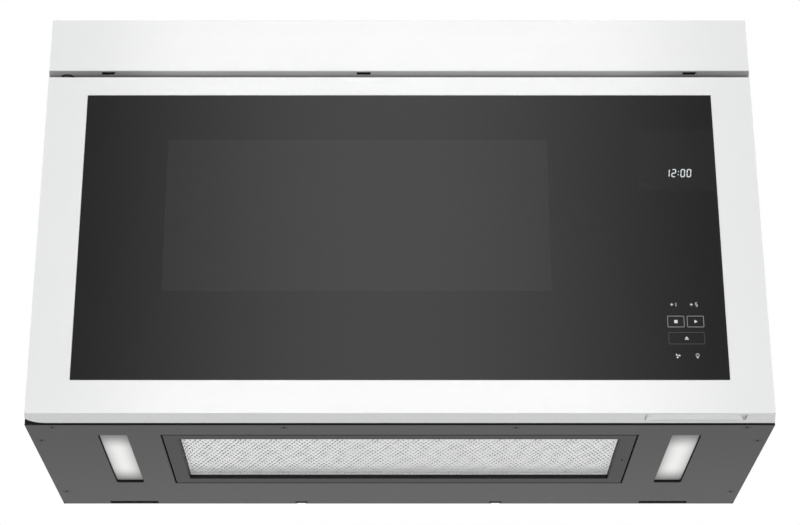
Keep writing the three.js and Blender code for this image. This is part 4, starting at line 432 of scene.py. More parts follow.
def case_paint():
    """The grey of the case, with flush screws near the edges of its sides; their recesses are painted
    near-black as shade.
    """
    f = Finish("case_paint")
    _, y, z = f.axes()
    spots, grain = grey_spots(f, y, CASE_GREY)
    places = [(FRONT + along, height) for along, height in SIDE_SCREWS]
    heads = f.discs(y, z, places, SIDE_HEAD)
    # painted shade: near-black recesses
    recess = f.discs(y, z, places, HEAD_RECESS)
    shade = f.mix(recess, f.mix(heads, spots, (0.26, 0.265, 0.27)), 0.006)
    return grained(f, shade, grain + 6 * heads - 12 * recess)


def base_paint():
    """The grey of the base, darker to its sides as painted shade; its cut edges, front edge, rear
    corners, screw seats, the groove round the filter and the notches are painted black as shade.
    """
    f = Finish("base_paint")
    x, y, z = f.axes()
    out = x.math("ABSOLUTE")
    spots, grain = grey_spots(f, y, BASE_GREY)
    # painted shade: darker towards the sides
    spots = f.mix(f.fade(out, 0.15, 0.34) * 0.14, spots, 0.0)
    # painted shade: black at the front edge under the door, the rear corners, round the screw seats, in
    # the groove round the filter and round the notches
    front = 1 - f.fade(y, FRONT + 0.6 * MM, FRONT + 1.0 * MM)
    corner = f.fade(out, 377.2 * MM, 377.6 * MM) * f.fade(y, REAR - 8.2 * MM, REAR - 7.8 * MM)
    ring = f.discs(out, y, [(aside, FRONT + along) for aside, along in BASE_SCREWS], SCREW_SEAT_SHADE)
    groove = f.below(x, y, "grease_filter_frame", GROOVE_SHADE_WIDTH)
    reach = NOTCH_SIZE[0] / 2 + 0.9 * MM
    behind = f.fade(y, REAR - NOTCH_SIZE[1] - 2.0 * MM, REAR - NOTCH_SIZE[1] - 1.6 * MM)
    notch = f.within(out, (NOTCH_MIDDLE - reach, NOTCH_MIDDLE + reach)) * behind
    black = f.fade(z, *SHADED_EDGE_HEIGHTS)
    for area in (front, corner, ring, groove, notch):
        black = black.math("MAXIMUM", area)
    return grained(f, f.mix(black, spots, SHADE_BLACK), grain)


def filter_frame_paint():
    """The filter's frame: dark grey, painted black as shade round its mesh, along its outer rim and on
    its edges.
    """
    f = Finish("filter_frame_paint")
    x, y, z = f.axes()
    grain = f.noise(PAINT_GRAIN, 4)
    # painted shade: black round the mesh, along the outer rim and on the edges
    opening = f.below(x, y, "grease_filter_mesh", MESH_EDGE_SHADE)
    rim = 1 - f.below(x, y, "grease_filter_frame", -FRAME_RIM_SHADE)
    black = opening.math("MAXIMUM", f.fade(z, *SHADED_EDGE_HEIGHTS)).math("MAXIMUM", rim)
    return grained(f, f.mix(black, f.mix(grain, 0.026, 0.037), SHADE_BLACK), grain)


def zinc_shade(f):
    """The shade and the gloss of zinc crystals."""
    level = f.node("ShaderNodeRGBToBW", None, {0: f.cells(7 * MM, out="Color")})
    shade = f.mix(f.levels(level, 0.2, 0.8), (0.46, 0.47, 0.48), (0.53, 0.54, 0.55))
    return shade, f.levels(level, 0.0, 1.0, 0.34, 0.44)


def zinc_sheet():
    """Galvanised sheet: every crystal has its own shade and gloss."""
    f = Finish("zinc_sheet")
    return f.surface(*zinc_shade(f), f.bump(f.noise(1.6 * MM, 3), 0.015 * MM), metallic=0.85)


def back_sheet():
    """Galvanised back panel with flush screws, whose recesses are painted near-black as shade, and a
    bare foil plate.
    """
    f = Finish("back_sheet")
    x, _, z = f.axes()
    zinc, rough = zinc_shade(f)
    heads = f.discs(x, z, BACK_SCREWS, BACK_HEAD)
    # painted shade: near-black recesses
    recess = f.discs(x, z, BACK_SCREWS, HEAD_RECESS)
    plate = f.within(x, BACK_PLATE_X) * f.within(z, BACK_PLATE_Z)
    plated = f.mix(heads, f.mix(plate, zinc, 0.72), (0.40, 0.41, 0.42))
    height = 0.25 * f.noise(1.6 * MM, 3) + 0.6 * heads - 1.2 * recess + 0.2 * plate
    return f.surface(f.mix(recess, plated, 0.02), rough, f.bump(height, 0.8 * MM), metallic=0.85)


def speckled_enamel():
    """Light grey oven enamel with small dark and pale specks."""
    f = Finish("speckled_enamel")
    ground = f.mix(f.noise(0.05), (0.40, 0.41, 0.42), (0.46, 0.465, 0.47))
    ground = f.mix(f.cells(1.9 * MM) < 0.16, ground, 0.72)
    shade = f.mix(f.cells(2.6 * MM) < 0.17, ground, 0.10)
    return f.surface(shade, 0.22, f.bump(f.noise(2.5 * MM), 0.03 * MM))


def pale_ceramic():
    """Smooth pale glass ceramic of the oven floor."""
    f = Finish("pale_ceramic")
    shade = f.mix(f.noise(0.03, 4), (0.66, 0.655, 0.63), (0.74, 0.73, 0.70))
    return f.surface(shade, f.vary(f.noise(0.01, 3), 0.10, 0.18))


def plated_steel():
    """Zinc plated steel with fine rolling lines."""
    f = Finish("plated_steel")
    lines = f.noise(0.7 * MM, 2, (1, 1, 0.06))
    shade = f.mix(lines, (0.46, 0.47, 0.48), (0.58, 0.585, 0.59))
    return f.surface(shade, f.vary(lines, 0.26, 0.40), metallic=1.0)


def rolled_aluminium():
    """Plain aluminium sheet with long soft rolling marks."""
    f = Finish("rolled_aluminium")
    marks = f.noise(1.2 * MM, 3, (0.05, 1, 1))
    shade = f.mix(marks, (0.66, 0.67, 0.68), (0.78, 0.785, 0.79))
    return f.surface(shade, f.vary(marks, 0.24, 0.38), metallic=1.0)


def moulded(name, dark, light, rough_low, rough_high):
    """Moulded plastic with a fine spark-eroded grain."""
    f = Finish(name)
    grain = f.noise(0.5 * MM, 3)
    shade = f.mix(f.noise(0.015), dark, light)
    return f.surface(shade, f.vary(grain, rough_low, rough_high), f.bump(grain, 0.02 * MM))


def board_lacquer():
    """Green circuit board lacquer over copper tracks."""
    f = Finish("board_lacquer")
    inputs = {"Vector": f.place(), "Scale": 120.0, "Mortar Size": 0.06}
    inputs |= {"Color1": colour(0), "Color2": colour(0), "Mortar": colour(1)}
    tracks = f.node("ShaderNodeTexBrick", {"offset": 0.5}, inputs)
    shade = f.mix(tracks, (0.02, 0.10, 0.045), (0.05, 0.17, 0.08))
    return f.surface(shade, f.vary(f.noise(3 * MM), 0.28, 0.42), f.bump(tracks, 0.03 * MM))


def wound_core():
    """A transformer: varnished copper coil round a core of stacked steel sheets."""
    f = Finish("wound_core")
    low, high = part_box("hv_transformer")
    _, y, _ = f.axes()
    coil_depth = 14 * MM
    coil = 1 - f.within(y, (low.y + coil_depth, high.y - coil_depth))
    sheets = f.waves("Y", 260.0)
    turns = f.waves("Z", 170.0)
    copper = f.mix(turns, (0.24, 0.075, 0.03), (0.55, 0.21, 0.09))
    height = coil * turns + (1 - coil) * sheets
    shade = f.mix(coil, f.mix(sheets, 0.05, 0.16), copper)
    return f.surface(shade, 0.38, f.bump(height, 0.2 * MM), metallic=0.75)


def dark_glass():
    """Black-backed door glass; its window and display areas are a shade lighter."""
    f = Finish("dark_glass")
    x, _, z = f.axes()
    window = f.within(x, WINDOW_SPAN_X) * f.within(z, WINDOW_SPAN_Z)
    display = f.within(x, DISPLAY_SPAN_X) * f.within(z, DISPLAY_SPAN_Z)
    dots = f.cells(1.4 * MM) < 0.42
    lift = window * (0.50 + 0.25 * dots) + 0.27 * display
    return f.surface(f.mix(lift, 0.011, 0.023), f.vary(f.noise(0.08), 0.03, 0.06))


def clear_pane():
    """Clear inner pane of the door window."""
    f = Finish("clear_pane")
    shade = f.mix(f.noise(0.05), (0.74, 0.78, 0.79), (0.80, 0.83, 0.84))
    return f.surface(shade, f.vary(f.noise(0.02, 3), 0.03, 0.09), alpha=0.22)


def punched_screen():
    """Black window screen, punched all over with small round holes."""
    f = Finish("punched_screen")
    x, _, z = f.axes()
    pitch = 1.9 * MM
    row_step = 0.866  # rows of holes in a triangle grid, as a share of the pitch
    up = z / (pitch * row_step)
    odd = up.math("FLOOR").math("MODULO", 2)
    dx = (x / pitch + 0.5 * odd).math("FRACT") - 0.5
    dz = (up.math("FRACT") - 0.5) * row_step
    reach = (dx * dx + dz * dz).math("SQRT")
    return f.surface(f.mix(f.noise(0.01), 0.014, 0.022), 0.42, alpha=f.fade(reach, 0.30, 0.36))


def lamp_lens(name, node):
    """A frosted lens, bright in its middle and softer towards its ends and edges."""
    f = Finish(name)
    low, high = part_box(node)
    x, y, _ = f.axes()
    middle = (low + high) / 2
    half = (high - low) / 2
    aside = (x - middle.x).math("ABSOLUTE") / half.x
    along = (y - middle.y).math("ABSOLUTE")
    edge = 1 - 0.74 * aside * aside
    end = 1 - f.fade(along, half.y * 0.36, half.y * 1.01)
    glow = edge * end * f.vary(f.noise(0.6 * MM), 0.94, 1.0)
    light = f.mix(glow, 0.0, (0.655, 0.655, 0.64))
    shade = f.mix(f.noise(0.8 * MM), 0.15, 0.19)
    return f.surface(shade, 0.45, f.bump(f.noise(0.7 * MM), 0.05 * MM), light=light)


def charcoal_grains():
    """Black activated charcoal grains."""
    f = Finish("charcoal_grains")
    grain = f.cells(2.2 * MM)
    return f.surface(f.mix(grain, 0.025, 0.006), 0.85, f.bump(1 - grain, 0.9 * MM))


def near_rear_wall(f):
    """Rises from 0 to 1 towards the rear wall of the filter's frame."""
    _, y, _ = f.axes()
    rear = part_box("grease_filter_mesh")[1].y
    return f.fade(y, rear - 42 * MM, rear - 10 * MM)


def mesh_strands(name, dark, light):
    """Bright aluminium strands of the grease mesh, duller along the rear wall of their frame."""
    f = Finish(name)
    shade = f.mix(f.levels(f.noise(2.4 * MM, 3), 0.36, 0.64), dark, light)
    rough = f.vary(f.noise(0.8 * MM), 0.28, 0.45)
    return f.surface(shade, rough, metallic=1 - near_rear_wall(f))


def mesh_bottom():
    """The innermost layer of the grease mesh, seen between the strands; it is painted lighter towards
    the rear wall of the frame.
    """
    f = Finish("mesh_bottom")
    tangle = f.cells(1.7 * MM)
    shade = f.mix(tangle, (0.95, 0.955, 0.955), (0.82, 0.825, 0.83))
    # painted light: lighter towards the rear wall of the frame
    shade = f.mix(near_rear_wall(f), shade, 0.95)
    return f.surface(shade, 0.5, f.bump(1 - tangle, 0.4 * MM), metallic=0.4)


def lit_print(name, low, high):
    """Print on the glass, lit from behind; the light varies a little over it."""
    f = Finish(name)
    shade = f.mix(f.noise(3 * MM), 0.015, 0.025)
    return f.surface(shade, 0.2, light=f.mix(f.noise(2 * MM), low, high))


def shade_filler():
    """Near-black with open pores, for the black pieces that stand in for shade."""
    f = Finish("painted_shade_black")
    pores = f.cells(0.8 * MM)
    return f.surface(f.mix(pores, 0.002, 0.008), 0.95, f.bump(pores, 0.3 * MM), specular=0.1)


def screw_recess_shade():
    """Near-black in the recess of the screw heads: painted shade."""
    f = Finish("screw_recess_shade")
    shade = f.mix(f.noise(1.5 * MM, 3), 0.004, 0.010)
    return f.surface(shade, f.vary(f.noise(1 * MM), 0.5, 0.7), specular=0.2)


# ------------ shapes


def rounded_outline(middle, size, radius):
    """Points round a rectangle with rounded corners."""
    steps = 5
    half_w = size[0] / 2 - radius
    half_h = size[1] / 2 - radius
    corners = ((1, 1, 0), (-1, 1, 90), (-1, -1, 180), (1, -1, 270))
    points = []
    for side_x, side_z, start in corners:
        for step in range(steps + 1):
            angle = radians(start + 90 * step / steps)
            x = middle[0] + side_x * half_w + radius * cos(angle)
            z = middle[1] + side_z * half_h + radius * sin(angle)
            points.append((x, z))
    return points


def round_outline(middle, radius, steps=24):
    turns = [2 * pi * step / steps for step in range(steps)]
    return [(middle[0] + radius * cos(a), middle[1] + radius * sin(a)) for a in turns]


def bar_outline(start, end, stroke):
    """The four corners of a straight stroke."""
    start = Vector(start)
    end = Vector(end)
    side = (end - start).normalized().orthogonal() * stroke / 2
    return [tuple(start + side), tuple(start - side), tuple(end - side), tuple(end + side)]


def upright(point, depth):
    """A point of an outline that stands in x and z, at a depth in y."""
    return (point[0], depth, point[1])


def flat(point, depth):
    """A point of an outline that lies in x and y, at a height z."""
    return (point[0], point[1], depth)


def join_lines(mesh, lines, closed=False):
    """Faces between neighbouring lines of corners; a closed line ends where it starts."""
    made = []
    for before, after in zip(lines, lines[1:]):
        count = len(before)
        for at in range(count if closed else count - 1):
            beside = (at + 1) % count
            made.append(mesh.faces.new((before[at], before[beside], after[beside], after[at])))
    return made


def add_prism(mesh, outline, low, high, stand=upright):
    """A solid that holds its outline from one depth to another."""
    near, far = [[mesh.verts.new(stand(point, depth)) for point in outline] for depth in (low, high)]
    mesh.faces.new(near)
    mesh.faces.new(far[::-1])
    join_lines(mesh, (near, far), closed=True)


def add_band(mesh, outer, inner, low, high, stand=upright, closed=True):
    """A strip between two lines with as many points each, from one depth to another."""
    corners = ((outer, low), (inner, low), (inner, high), (outer, high))
    loops = [[mesh.verts.new(stand(point, depth)) for point in line] for line, depth in corners]
    join_lines(mesh, loops + loops[:1], closed)
    if not closed:
        for end in (0, -1):
            mesh.faces.new([loop[end] for loop in loops])


def put(name, data):
    """Puts a mesh, a lamp or a camera in the scene."""
    made = bpy.data.objects.new(name, data)
    bpy.context.scene.collection.objects.link(made)
    return made


def mesh_object(name, mesh, material):
    data = bpy.data.meshes.new(name)
    mesh.to_mesh(data)
    mesh.free()
    data.materials.append(material)
    return put(name, data)


def piece(name, mesh, material, body, angle=32):
    """Turns a bmesh into a piece that rides on a body."""
    bmesh.ops.recalc_face_normals(mesh, faces=mesh.faces)
    made = mesh_object(name, mesh, material)
    made.data.shade_smooth()
    made.data.set_sharp_from_angle(angle=radians(angle))
    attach(made, body)
    return made


def thicken(target, thickness):
    """Gives a sheet its thickness, half to each side."""
    solid = target.modifiers.new("thickness", "SOLIDIFY")
    solid.thickness = thickness
    solid.offset = 0


def round_edges(target, width):
    """Rounds the sharp edges of a piece or of a solid of the frame."""
    bevel = target.modifiers.new("edges", "BEVEL")
    bevel.width = width
    bevel.segments = 2
    bevel.limit_method = "ANGLE"
    bevel.angle_limit = radians(30)
    level = target.modifiers.new("level_faces", "WEIGHTED_NORMAL")
    level.weight = 100


def soften(name, width):
    """Joins a solid's flat triangles and rounds its edges; its own vertices stay."""
    target = frame["nodes"][name]
    target.data.shade_smooth()
    weld = target.modifiers.new("weld", "WELD")
    weld.merge_threshold = 0.002 * MM
    joined = target.modifiers.new("flat_faces", "DECIMATE")
    joined.decimate_type = "DISSOLVE"
    joined.angle_limit = radians(0.6)
    round_edges(target, width)


def cover(name, material):
    """Gives a solid of the frame its finish."""
    target = frame["nodes"][name]
    for slot in target.material_slots:
        slot.material = material


# ------------ door: glass, prints, pocket handle and latch spring


def front_glass(material):
    """The full-size glass of the door, with eased corners and edges."""
    low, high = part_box("door_glass")
    mesh = bmesh.new()
    middle = ((low.x + high.x) / 2, (low.z + high.z) / 2)
    outline = rounded_outline(middle, (high.x - low.x, high.z - low.z), 1.2 * MM)
    add_prism(mesh, outline, DOOR_FACE + GLASS_STEP, high.y)
    made = piece("front_glass", mesh, material, "door")
    round_edges(made, 0.3 * MM)
    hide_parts("door_glass")


def glass_print(name, material, outlines, bands=()):
    """Marks behind the glass: bands between two lines each, and filled outlines."""
    mesh = bmesh.new()
    for outer, inner in bands:
        add_band(mesh, outer, inner, *PRINT_DEPTHS)
    for outline in outlines:
        add_prism(mesh, outline, *PRINT_DEPTHS)
    piece(name, mesh, material, "door")


def digit(character, corner, size, stroke, slant=0):
    """The outlines of a digit's pointed bars."""
    gap = stroke * 0.12
    half = stroke / 2
    columns = (half, size[0] - half)
    rows = (half, size[1] / 2, size[1] - half)
    outlines = []
    for letter in LIT_BARS[character]:
        start, end = [Vector((columns[across], rows[up])) for across, up in DIGIT_BARS[letter]]
        along = (end - start).normalized()
        side = along.orthogonal() * half
        first = start + along * gap
        last = end - along * gap
        line = [first, first + along * half + side, last - along * half + side]
        line += [last, last - along * half - side, first + along * half - side]
        outlines.append([(corner[0] + p.x + slant * p.y, corner[1] + p.y) for p in line])
    return outlines


def clock(material):
    """The time in slanted bar digits."""
    marks = []
    widths = [NARROW_WIDTH.get(character, DIGIT_WIDTH) for character in CLOCK_TEXT]
    total = sum(widths) + DIGIT_GAP * (len(CLOCK_TEXT) - 1)
    x = CLOCK_MIDDLE[0] - total / 2 - DIGIT_SLANT * DIGIT_HEIGHT / 2
    low = CLOCK_MIDDLE[1] - DIGIT_HEIGHT / 2
    for character, width in zip(CLOCK_TEXT, widths):
        if character == ":":
            for share in (0.3, 0.7):
                aside = x + width / 2 + DIGIT_SLANT * share * DIGIT_HEIGHT
                middle = (aside, low + share * DIGIT_HEIGHT)
                marks.append(round_outline(middle, DIGIT_STROKE * 0.55, 12))
        else:
            size = (DIGIT_WIDTH, DIGIT_HEIGHT)
            marks += digit(character, (x, low), size, DIGIT_STROKE, DIGIT_SLANT)
        x += width + DIGIT_GAP
    glass_print("clock_digits", material, marks)


def time_keys(material):
    """Plus signs with a one and a five."""
    marks = []
    arm = TIME_HEIGHT * 0.33
    size = (TIME_HEIGHT * 0.55, TIME_HEIGHT)
    for column, character in ((COLUMN_LEFT, "1"), (COLUMN_RIGHT, "5")):
        x = column - TIME_HEIGHT * 0.7
        marks.append(bar_outline((x - arm, TIME_ROW), (x + arm, TIME_ROW), TIME_STROKE))
        for side in (-1, 1):
            root = (x, TIME_ROW + side * TIME_STROKE / 2)
            marks.append(bar_outline(root, (x, TIME_ROW + side * arm), TIME_STROKE))
        corner = (column + TIME_HEIGHT * 0.15, TIME_ROW - TIME_HEIGHT / 2)
        marks += digit(character, corner, size, TIME_STROKE)
    glass_print("time_key_marks", material, marks)


def outlined_key(name, middle, size, material):
    """A narrow line round a key."""
    inner_size = (size[0] - 2 * KEY_STROKE, size[1] - 2 * KEY_STROKE)
    outer = rounded_outline(middle, size, KEY_ROUND)
    inner = rounded_outline(middle, inner_size, KEY_ROUND - KEY_STROKE)
    glass_print(name, material, (), [(outer, inner)])


def action_marks(material):
    """A square that stops and a triangle that starts."""
    square = rounded_outline((COLUMN_LEFT, ACTION_ROW), (ACTION_MARK, ACTION_MARK), 0.3 * MM)
    triangle = round_outline((COLUMN_RIGHT, ACTION_ROW), ACTION_MARK * 0.62, 3)
    glass_print("action_key_marks", material, (square, triangle))


def open_mark(material):
    """A triangle over a bar: the door opens."""
    left = COLUMN_MIDDLE - OPEN_MARK
    right = COLUMN_MIDDLE + OPEN_MARK
    low = OPEN_ROW - 0.4 * MM
    triangle = [(left, low), (right, low), (COLUMN_MIDDLE, low + 1.15 * OPEN_MARK)]
    bar_row = OPEN_ROW - 1.4 * MM
    bar = bar_outline((left, bar_row), (right, bar_row), 0.6 * MM)
    glass_print("open_key_mark", material, (triangle, bar))


def fan_symbol(material):
    """Three curved blades round a hub."""
    middle = Vector((COLUMN_LEFT, SYMBOL_ROW))
    reach = SYMBOL_SIZE / 2
    marks = [round_outline(middle, reach * 0.2, 12)]
    steps = 6
    for blade in range(3):
        start = 2 * pi * blade / 3
        lead = []
        trail = []
        for step in range(steps + 1):
            share = step / steps
            radius = reach * (0.32 + 0.68 * share)
            bulge = start + 0.95 * sin(pi * min(1, 0.25 + 0.75 * share))
            sweep = start - 0.15 * sin(pi * share)
            lead.append(Vector((radius * cos(bulge), radius * sin(bulge))))
            trail.append(Vector((radius * cos(sweep), radius * sin(sweep))))
        marks.append([tuple(middle + point) for point in trail + lead[-2::-1]])
    glass_print("fan_symbol", material, marks)


def bulb_symbol(material):
    """A round bulb over its screw base."""
    middle = (COLUMN_RIGHT, SYMBOL_ROW + SYMBOL_SIZE * 0.12)
    radius = SYMBOL_SIZE * 0.33
    bulb = (round_outline(middle, radius), round_outline(middle, radius - KEY_STROKE))
    lines = []
    for line in range(2):
        z = middle[1] - radius - (0.35 + 0.75 * line) * MM
        half = radius * (0.5 - 0.12 * line)
        lines.append(bar_outline((COLUMN_RIGHT - half, z), (COLUMN_RIGHT + half, z), KEY_STROKE))
    glass_print("bulb_symbol", material, lines, [bulb])


def door_prints():
    """Everything that shows through the dark glass."""
    clock(lit_print("clock_light", (0.72, 0.77, 0.80), (0.82, 0.87, 0.90)))
    marks = lit_print("key_light", 0.62, 0.74)
    time_keys(marks)
    action_marks(marks)
    fan_symbol(marks)
    bulb_symbol(marks)
    lines = lit_print("key_line_light", 0.27, 0.32)
    outlined_key("stop_key_line", (COLUMN_LEFT, ACTION_ROW), ACTION_SIZE, lines)
    outlined_key("start_key_line", (COLUMN_RIGHT, ACTION_ROW), ACTION_SIZE, lines)
    faint = lit_print("faint_line_light", 0.045, 0.060)
    outlined_key("open_key_line", (COLUMN_MIDDLE, OPEN_ROW), OPEN_SIZE, faint)
    open_mark(marks)


def pocket_liner(material):
    """The scooped inside of the pocket handle: its rear wall leans and its ends run out softly."""
    left, right = POCKET_SPAN_X
    front, rear_deep, rear_mouth = [FRONT + y for y in POCKET_DEPTHS]
    low, high = POCKET_HEIGHTS
    mesh = bmesh.new()
    lines = []
    for column in range(POCKET_COLUMNS + 1):
        x = left + (right - left) * column / POCKET_COLUMNS
        near = min(x - left, right - x) / POCKET_END
        share = sin(pi / 2 * min(1, near))
        top = low + (high - low) * share
        rear_top = rear_mouth + (rear_deep - rear_mouth) * share
        points = [(x, front, low), (x, front, top)]
        for row in range(POCKET_ROWS + 1):
            angle = pi / 2 * row / POCKET_ROWS
            y = rear_top + (rear_mouth - rear_top) * (1 - cos(angle))
            points.append((x, y, top - (top - low) * sin(angle)))
        lines.append([mesh.verts.new(point) for point in points])
    join_lines(mesh, lines)
    bmesh.ops.remove_doubles(mesh, verts=mesh.verts, dist=0.01 * MM)
    made = piece("pocket_liner", mesh, material, "door", SMOOTH_ANGLE)
    thicken(made, 0.15 * MM)


def latch_coil(material):
    """The coil spring over the latch bar."""
    low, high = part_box("latch_spring")
    middle = (low + high) / 2
    radius = (high.x - low.x) / 2 - SPRING_WIRE
    mesh = bmesh.new()
    rings = []
    count = SPRING_TURNS * SPRING_STEPS
    for step in range(count + 1):
        turn = 2 * pi * step / SPRING_STEPS
        z = low.z + SPRING_WIRE + (high.z - low.z - 2 * SPRING_WIRE) * step / count
        centre = Vector((middle.x + radius * cos(turn), middle.y + radius * sin(turn), z))
        outward = Vector((cos(turn), sin(turn), 0))
        ring = []
        for side in range(6):
            angle = pi * side / 3
            offset = outward * cos(angle) + Vector((0, 0, sin(angle)))
            ring.append(mesh.verts.new(centre + offset * SPRING_WIRE * 0.98))
        rings.append(ring)
    join_lines(mesh, rings, closed=True)
    mesh.faces.new(rings[0])
    mesh.faces.new(rings[-1])
    made = piece("latch_coil", mesh, material, "door", SMOOTH_ANGLE)
    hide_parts("latch_spring")
    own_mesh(made)


# ------------ grease filter, screws and small black pieces of painted shade


def net_piece(name, mesh, material):
    return piece(name, mesh, material, "grease_filter", SMOOTH_ANGLE)


def strand_layer(name, diamond, height, wander, material):
    """Expanded metal: zigzag strands side by side that touch at their peaks and wander a little."""
    low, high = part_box("grease_filter_mesh")
    mesh = bmesh.new()
    half = NET_STRAND / 2
    columns = round((high.x - low.x) * 2 / diamond[0])
    rows = round((high.y - low.y) * 2 / diamond[1])
    pitch = (high.x - low.x) / columns
    step = (high.y - low.y) / rows
    swing = (pitch - NET_STRAND * 0.3) / 2
    for column in range(columns + 1):
        rings = []
        for row in range(rows + 1):
            peak = 1 if (row + column) % 2 else -1
            drift = wander * sin(column * 0.13 + 2.0 * sin(row * 0.21))
            x = min(max(low.x + column * pitch + peak * swing + drift, low.x + half), high.x - half)
            y = low.y + row * step
            lift = height + peak * 0.2 * MM
            upper = lift + 0.1 * MM
            ridge = ((x - half, y, upper), (x, y, lift - 0.2 * MM), (x + half, y, upper))
            rings.append([mesh.verts.new(point) for point in ridge])
        join_lines(mesh, rings, closed=True)
    return net_piece(name, mesh, material)


def grease_net():
    """The layers of the grease mesh; the front one stands for the plain solid net."""
    low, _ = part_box("grease_filter_mesh")
    bright = mesh_strands("front_strands", (0.83, 0.835, 0.835), (0.91, 0.915, 0.915))
    # the deep strands are painted lighter than the front ones, against the shade they lie in
    lightened_deep = mesh_strands("deep_strands", (0.88, 0.885, 0.885), (0.98, 0.98, 0.98))
    front = strand_layer("grease_net", NET_DIAMOND, low.z + 0.45 * MM, 0.22 * MM, bright)
    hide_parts("grease_filter_mesh")
    strand_layer("grease_net_deep", DEEP_DIAMOND, low.z + 1.2 * MM, 1.1 * MM, lightened_deep)
    net_backing(mesh_bottom())
    net_hem(bright)


def net_hem(material):
    """The folded hem along the rear edge of the mesh."""
    low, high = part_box("grease_filter_mesh")
    middle = ((low.x + high.x) / 2, high.y - NET_HEM / 2)
    mesh = bmesh.new()
    outline = rounded_outline(middle, (high.x - low.x, NET_HEM), 0.3 * MM)
    add_prism(mesh, outline, low.z + 0.05 * MM, low.z + 0.6 * MM, flat)
    net_piece("grease_net_hem", mesh, material)


def net_backing(material):
    """The innermost layer, as one quilted sheet."""
    low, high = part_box("grease_filter_mesh")
    mesh = bmesh.new()
    bottom = low.z + 2.0 * MM
    lines = []
    for row in range(BACKING_ROWS + 1):
        y = low.y + (high.y - low.y) * row / BACKING_ROWS
        line = []
        for column in range(BACKING_COLUMNS + 1):
            x = low.x + (high.x - low.x) * column / BACKING_COLUMNS
            wave = sin(column * 1.9 + row * 0.9) * sin(row * 2.3)
            line.append(mesh.verts.new((x, y, bottom + 0.2 * MM * wave)))
        lines.append(line)
    join_lines(mesh, lines)
    thicken(net_piece("net_backing", mesh, material), 0.5 * MM)


def add_screw_head(mesh):
    """A flat head that faces down, with a cross recess; the recess has the second material."""
    steps = 24
    half = SCREW_RECESS * 0.42
    rim = [mesh.verts.new((x, y, 0)) for x, y in round_outline((0, 0), SCREW_HEAD, steps)]
    cross = []
    for c, s in ((1, 0), (0, 1), (-1, 0), (0, -1)):
        for along, side in ((half, -half), (SCREW_RECESS, -half), (SCREW_RECESS, half)):
            cross.append((along * c - side * s, along * s + side * c))
    top, bottom = [[mesh.verts.new((x, y, z)) for x, y in cross] for z in (0, RECESS_DEPTH)]
    narrow = round_outline((0, 0), SCREW_HEAD * 0.6, steps)
    back = [mesh.verts.new((x, y, RECESS_DEPTH + 0.2 * MM)) for x, y in narrow]
    edges = []
    for loop in (rim, top):
        for ends in zip(loop, loop[1:] + loop[:1]):
            edges.append(mesh.edges.new(ends))
    bmesh.ops.triangle_fill(mesh, use_beauty=True, use_dissolve=False, edges=edges)
    for wall in join_lines(mesh, (top, bottom), closed=True):
        wall.material_index = 1
    mesh.faces.new(bottom).material_index = 1
    join_lines(mesh, (rim, back), closed=True)
    mesh.faces.new(back[::-1])


def screw(name, place, head, socket, body, turn=0):
    """A screw whose head faces down, or up after half a turn."""
    mesh = bmesh.new()
    add_screw_head(mesh)
    matrix = Matrix.Translation(place) @ Matrix.Rotation(turn, 4, "Y")
    bmesh.ops.transform(mesh, matrix=matrix, verts=mesh.verts)
    made = piece(name, mesh, head, body)
    made.data.materials.append(socket)
    return made


def base_screws(paint, socket):
    """Painted countersunk screws at both sides of the base."""
    for number, (x, y) in enumerate(BASE_SCREWS, 1):
        for side, label in SIDES:
            place = (side * x, FRONT + y, SCREW_SINK)
            screw(f"base_screw_{label}_{number}", place, paint, socket, "case")


def top_screws(steel, socket):
    """Raised screws in the top of the case."""
    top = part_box("outer_case")[1].z
    for number, (x, y) in enumerate(TOP_SCREWS, 1):
        place = (x, FRONT + y, top + SCREW_RISE)
        screw(f"top_screw_{number}", place, steel, socket, "case", pi)


def filter_screw(paint, socket):
    """The captive screw of the filter, with its shank."""
    low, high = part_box("grease_filter_screw")
    middle = (low + high) / 2
    made = screw("filter_screw", (middle.x, middle.y, SCREW_SINK), paint, socket, "grease_filter")
    mesh = bmesh.new()
    mesh.from_mesh(made.data)
    add_prism(mesh, round_outline((middle.x, middle.y), SHANK_RADIUS, 16), SHEET, high.z, flat)
    bmesh.ops.recalc_face_normals(mesh, faces=mesh.faces)
    mesh.to_mesh(made.data)
    mesh.free()
    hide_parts("grease_filter_screw")


def lamp_edge_shades(material):
    """A black band of painted shade at the outer side and, wider, at the rear of each lamp's opening.
    """
    outer = rounded_outline(LAMP_MIDDLE, LAMP_SIZE, LAMP_ROUND)
    inner = rounded_outline(LAMP_SHADE_INNER_MIDDLE, LAMP_SHADE_INNER_SIZE, LAMP_ROUND)
    for side, label in SIDES:
        lines = [[(side * x, FRONT + y) for x, y in line] for line in (outer, inner)]
        mesh = bmesh.new()
        add_band(mesh, *lines, 0.3 * MM, 1.35 * MM, flat)
        piece(f"{label}_lamp_edge_shade", mesh, material, "case")


def notch_edge_shades(material):
    """Black bands of painted shade round the front and the sides of each rear notch."""
    half = NOTCH_SIZE[0] / 2
    near = half - NOTCH_SIDE_SHADE
    front = REAR - NOTCH_SIZE[1]
    inner_front = front + NOTCH_FRONT_SHADE
    for side, label in SIDES:
        x = side * NOTCH_MIDDLE
        outer = [(x - half, REAR), (x - half, front), (x + half, front), (x + half, REAR)]
        inner = [(x - near, REAR), (x - near, inner_front), (x + near, inner_front), (x + near, REAR)]
        mesh = bmesh.new()
        add_band(mesh, outer, inner, 0.15 * MM, SHEET, flat, closed=False)
        piece(f"{label}_notch_edge_shade", mesh, material, "case")


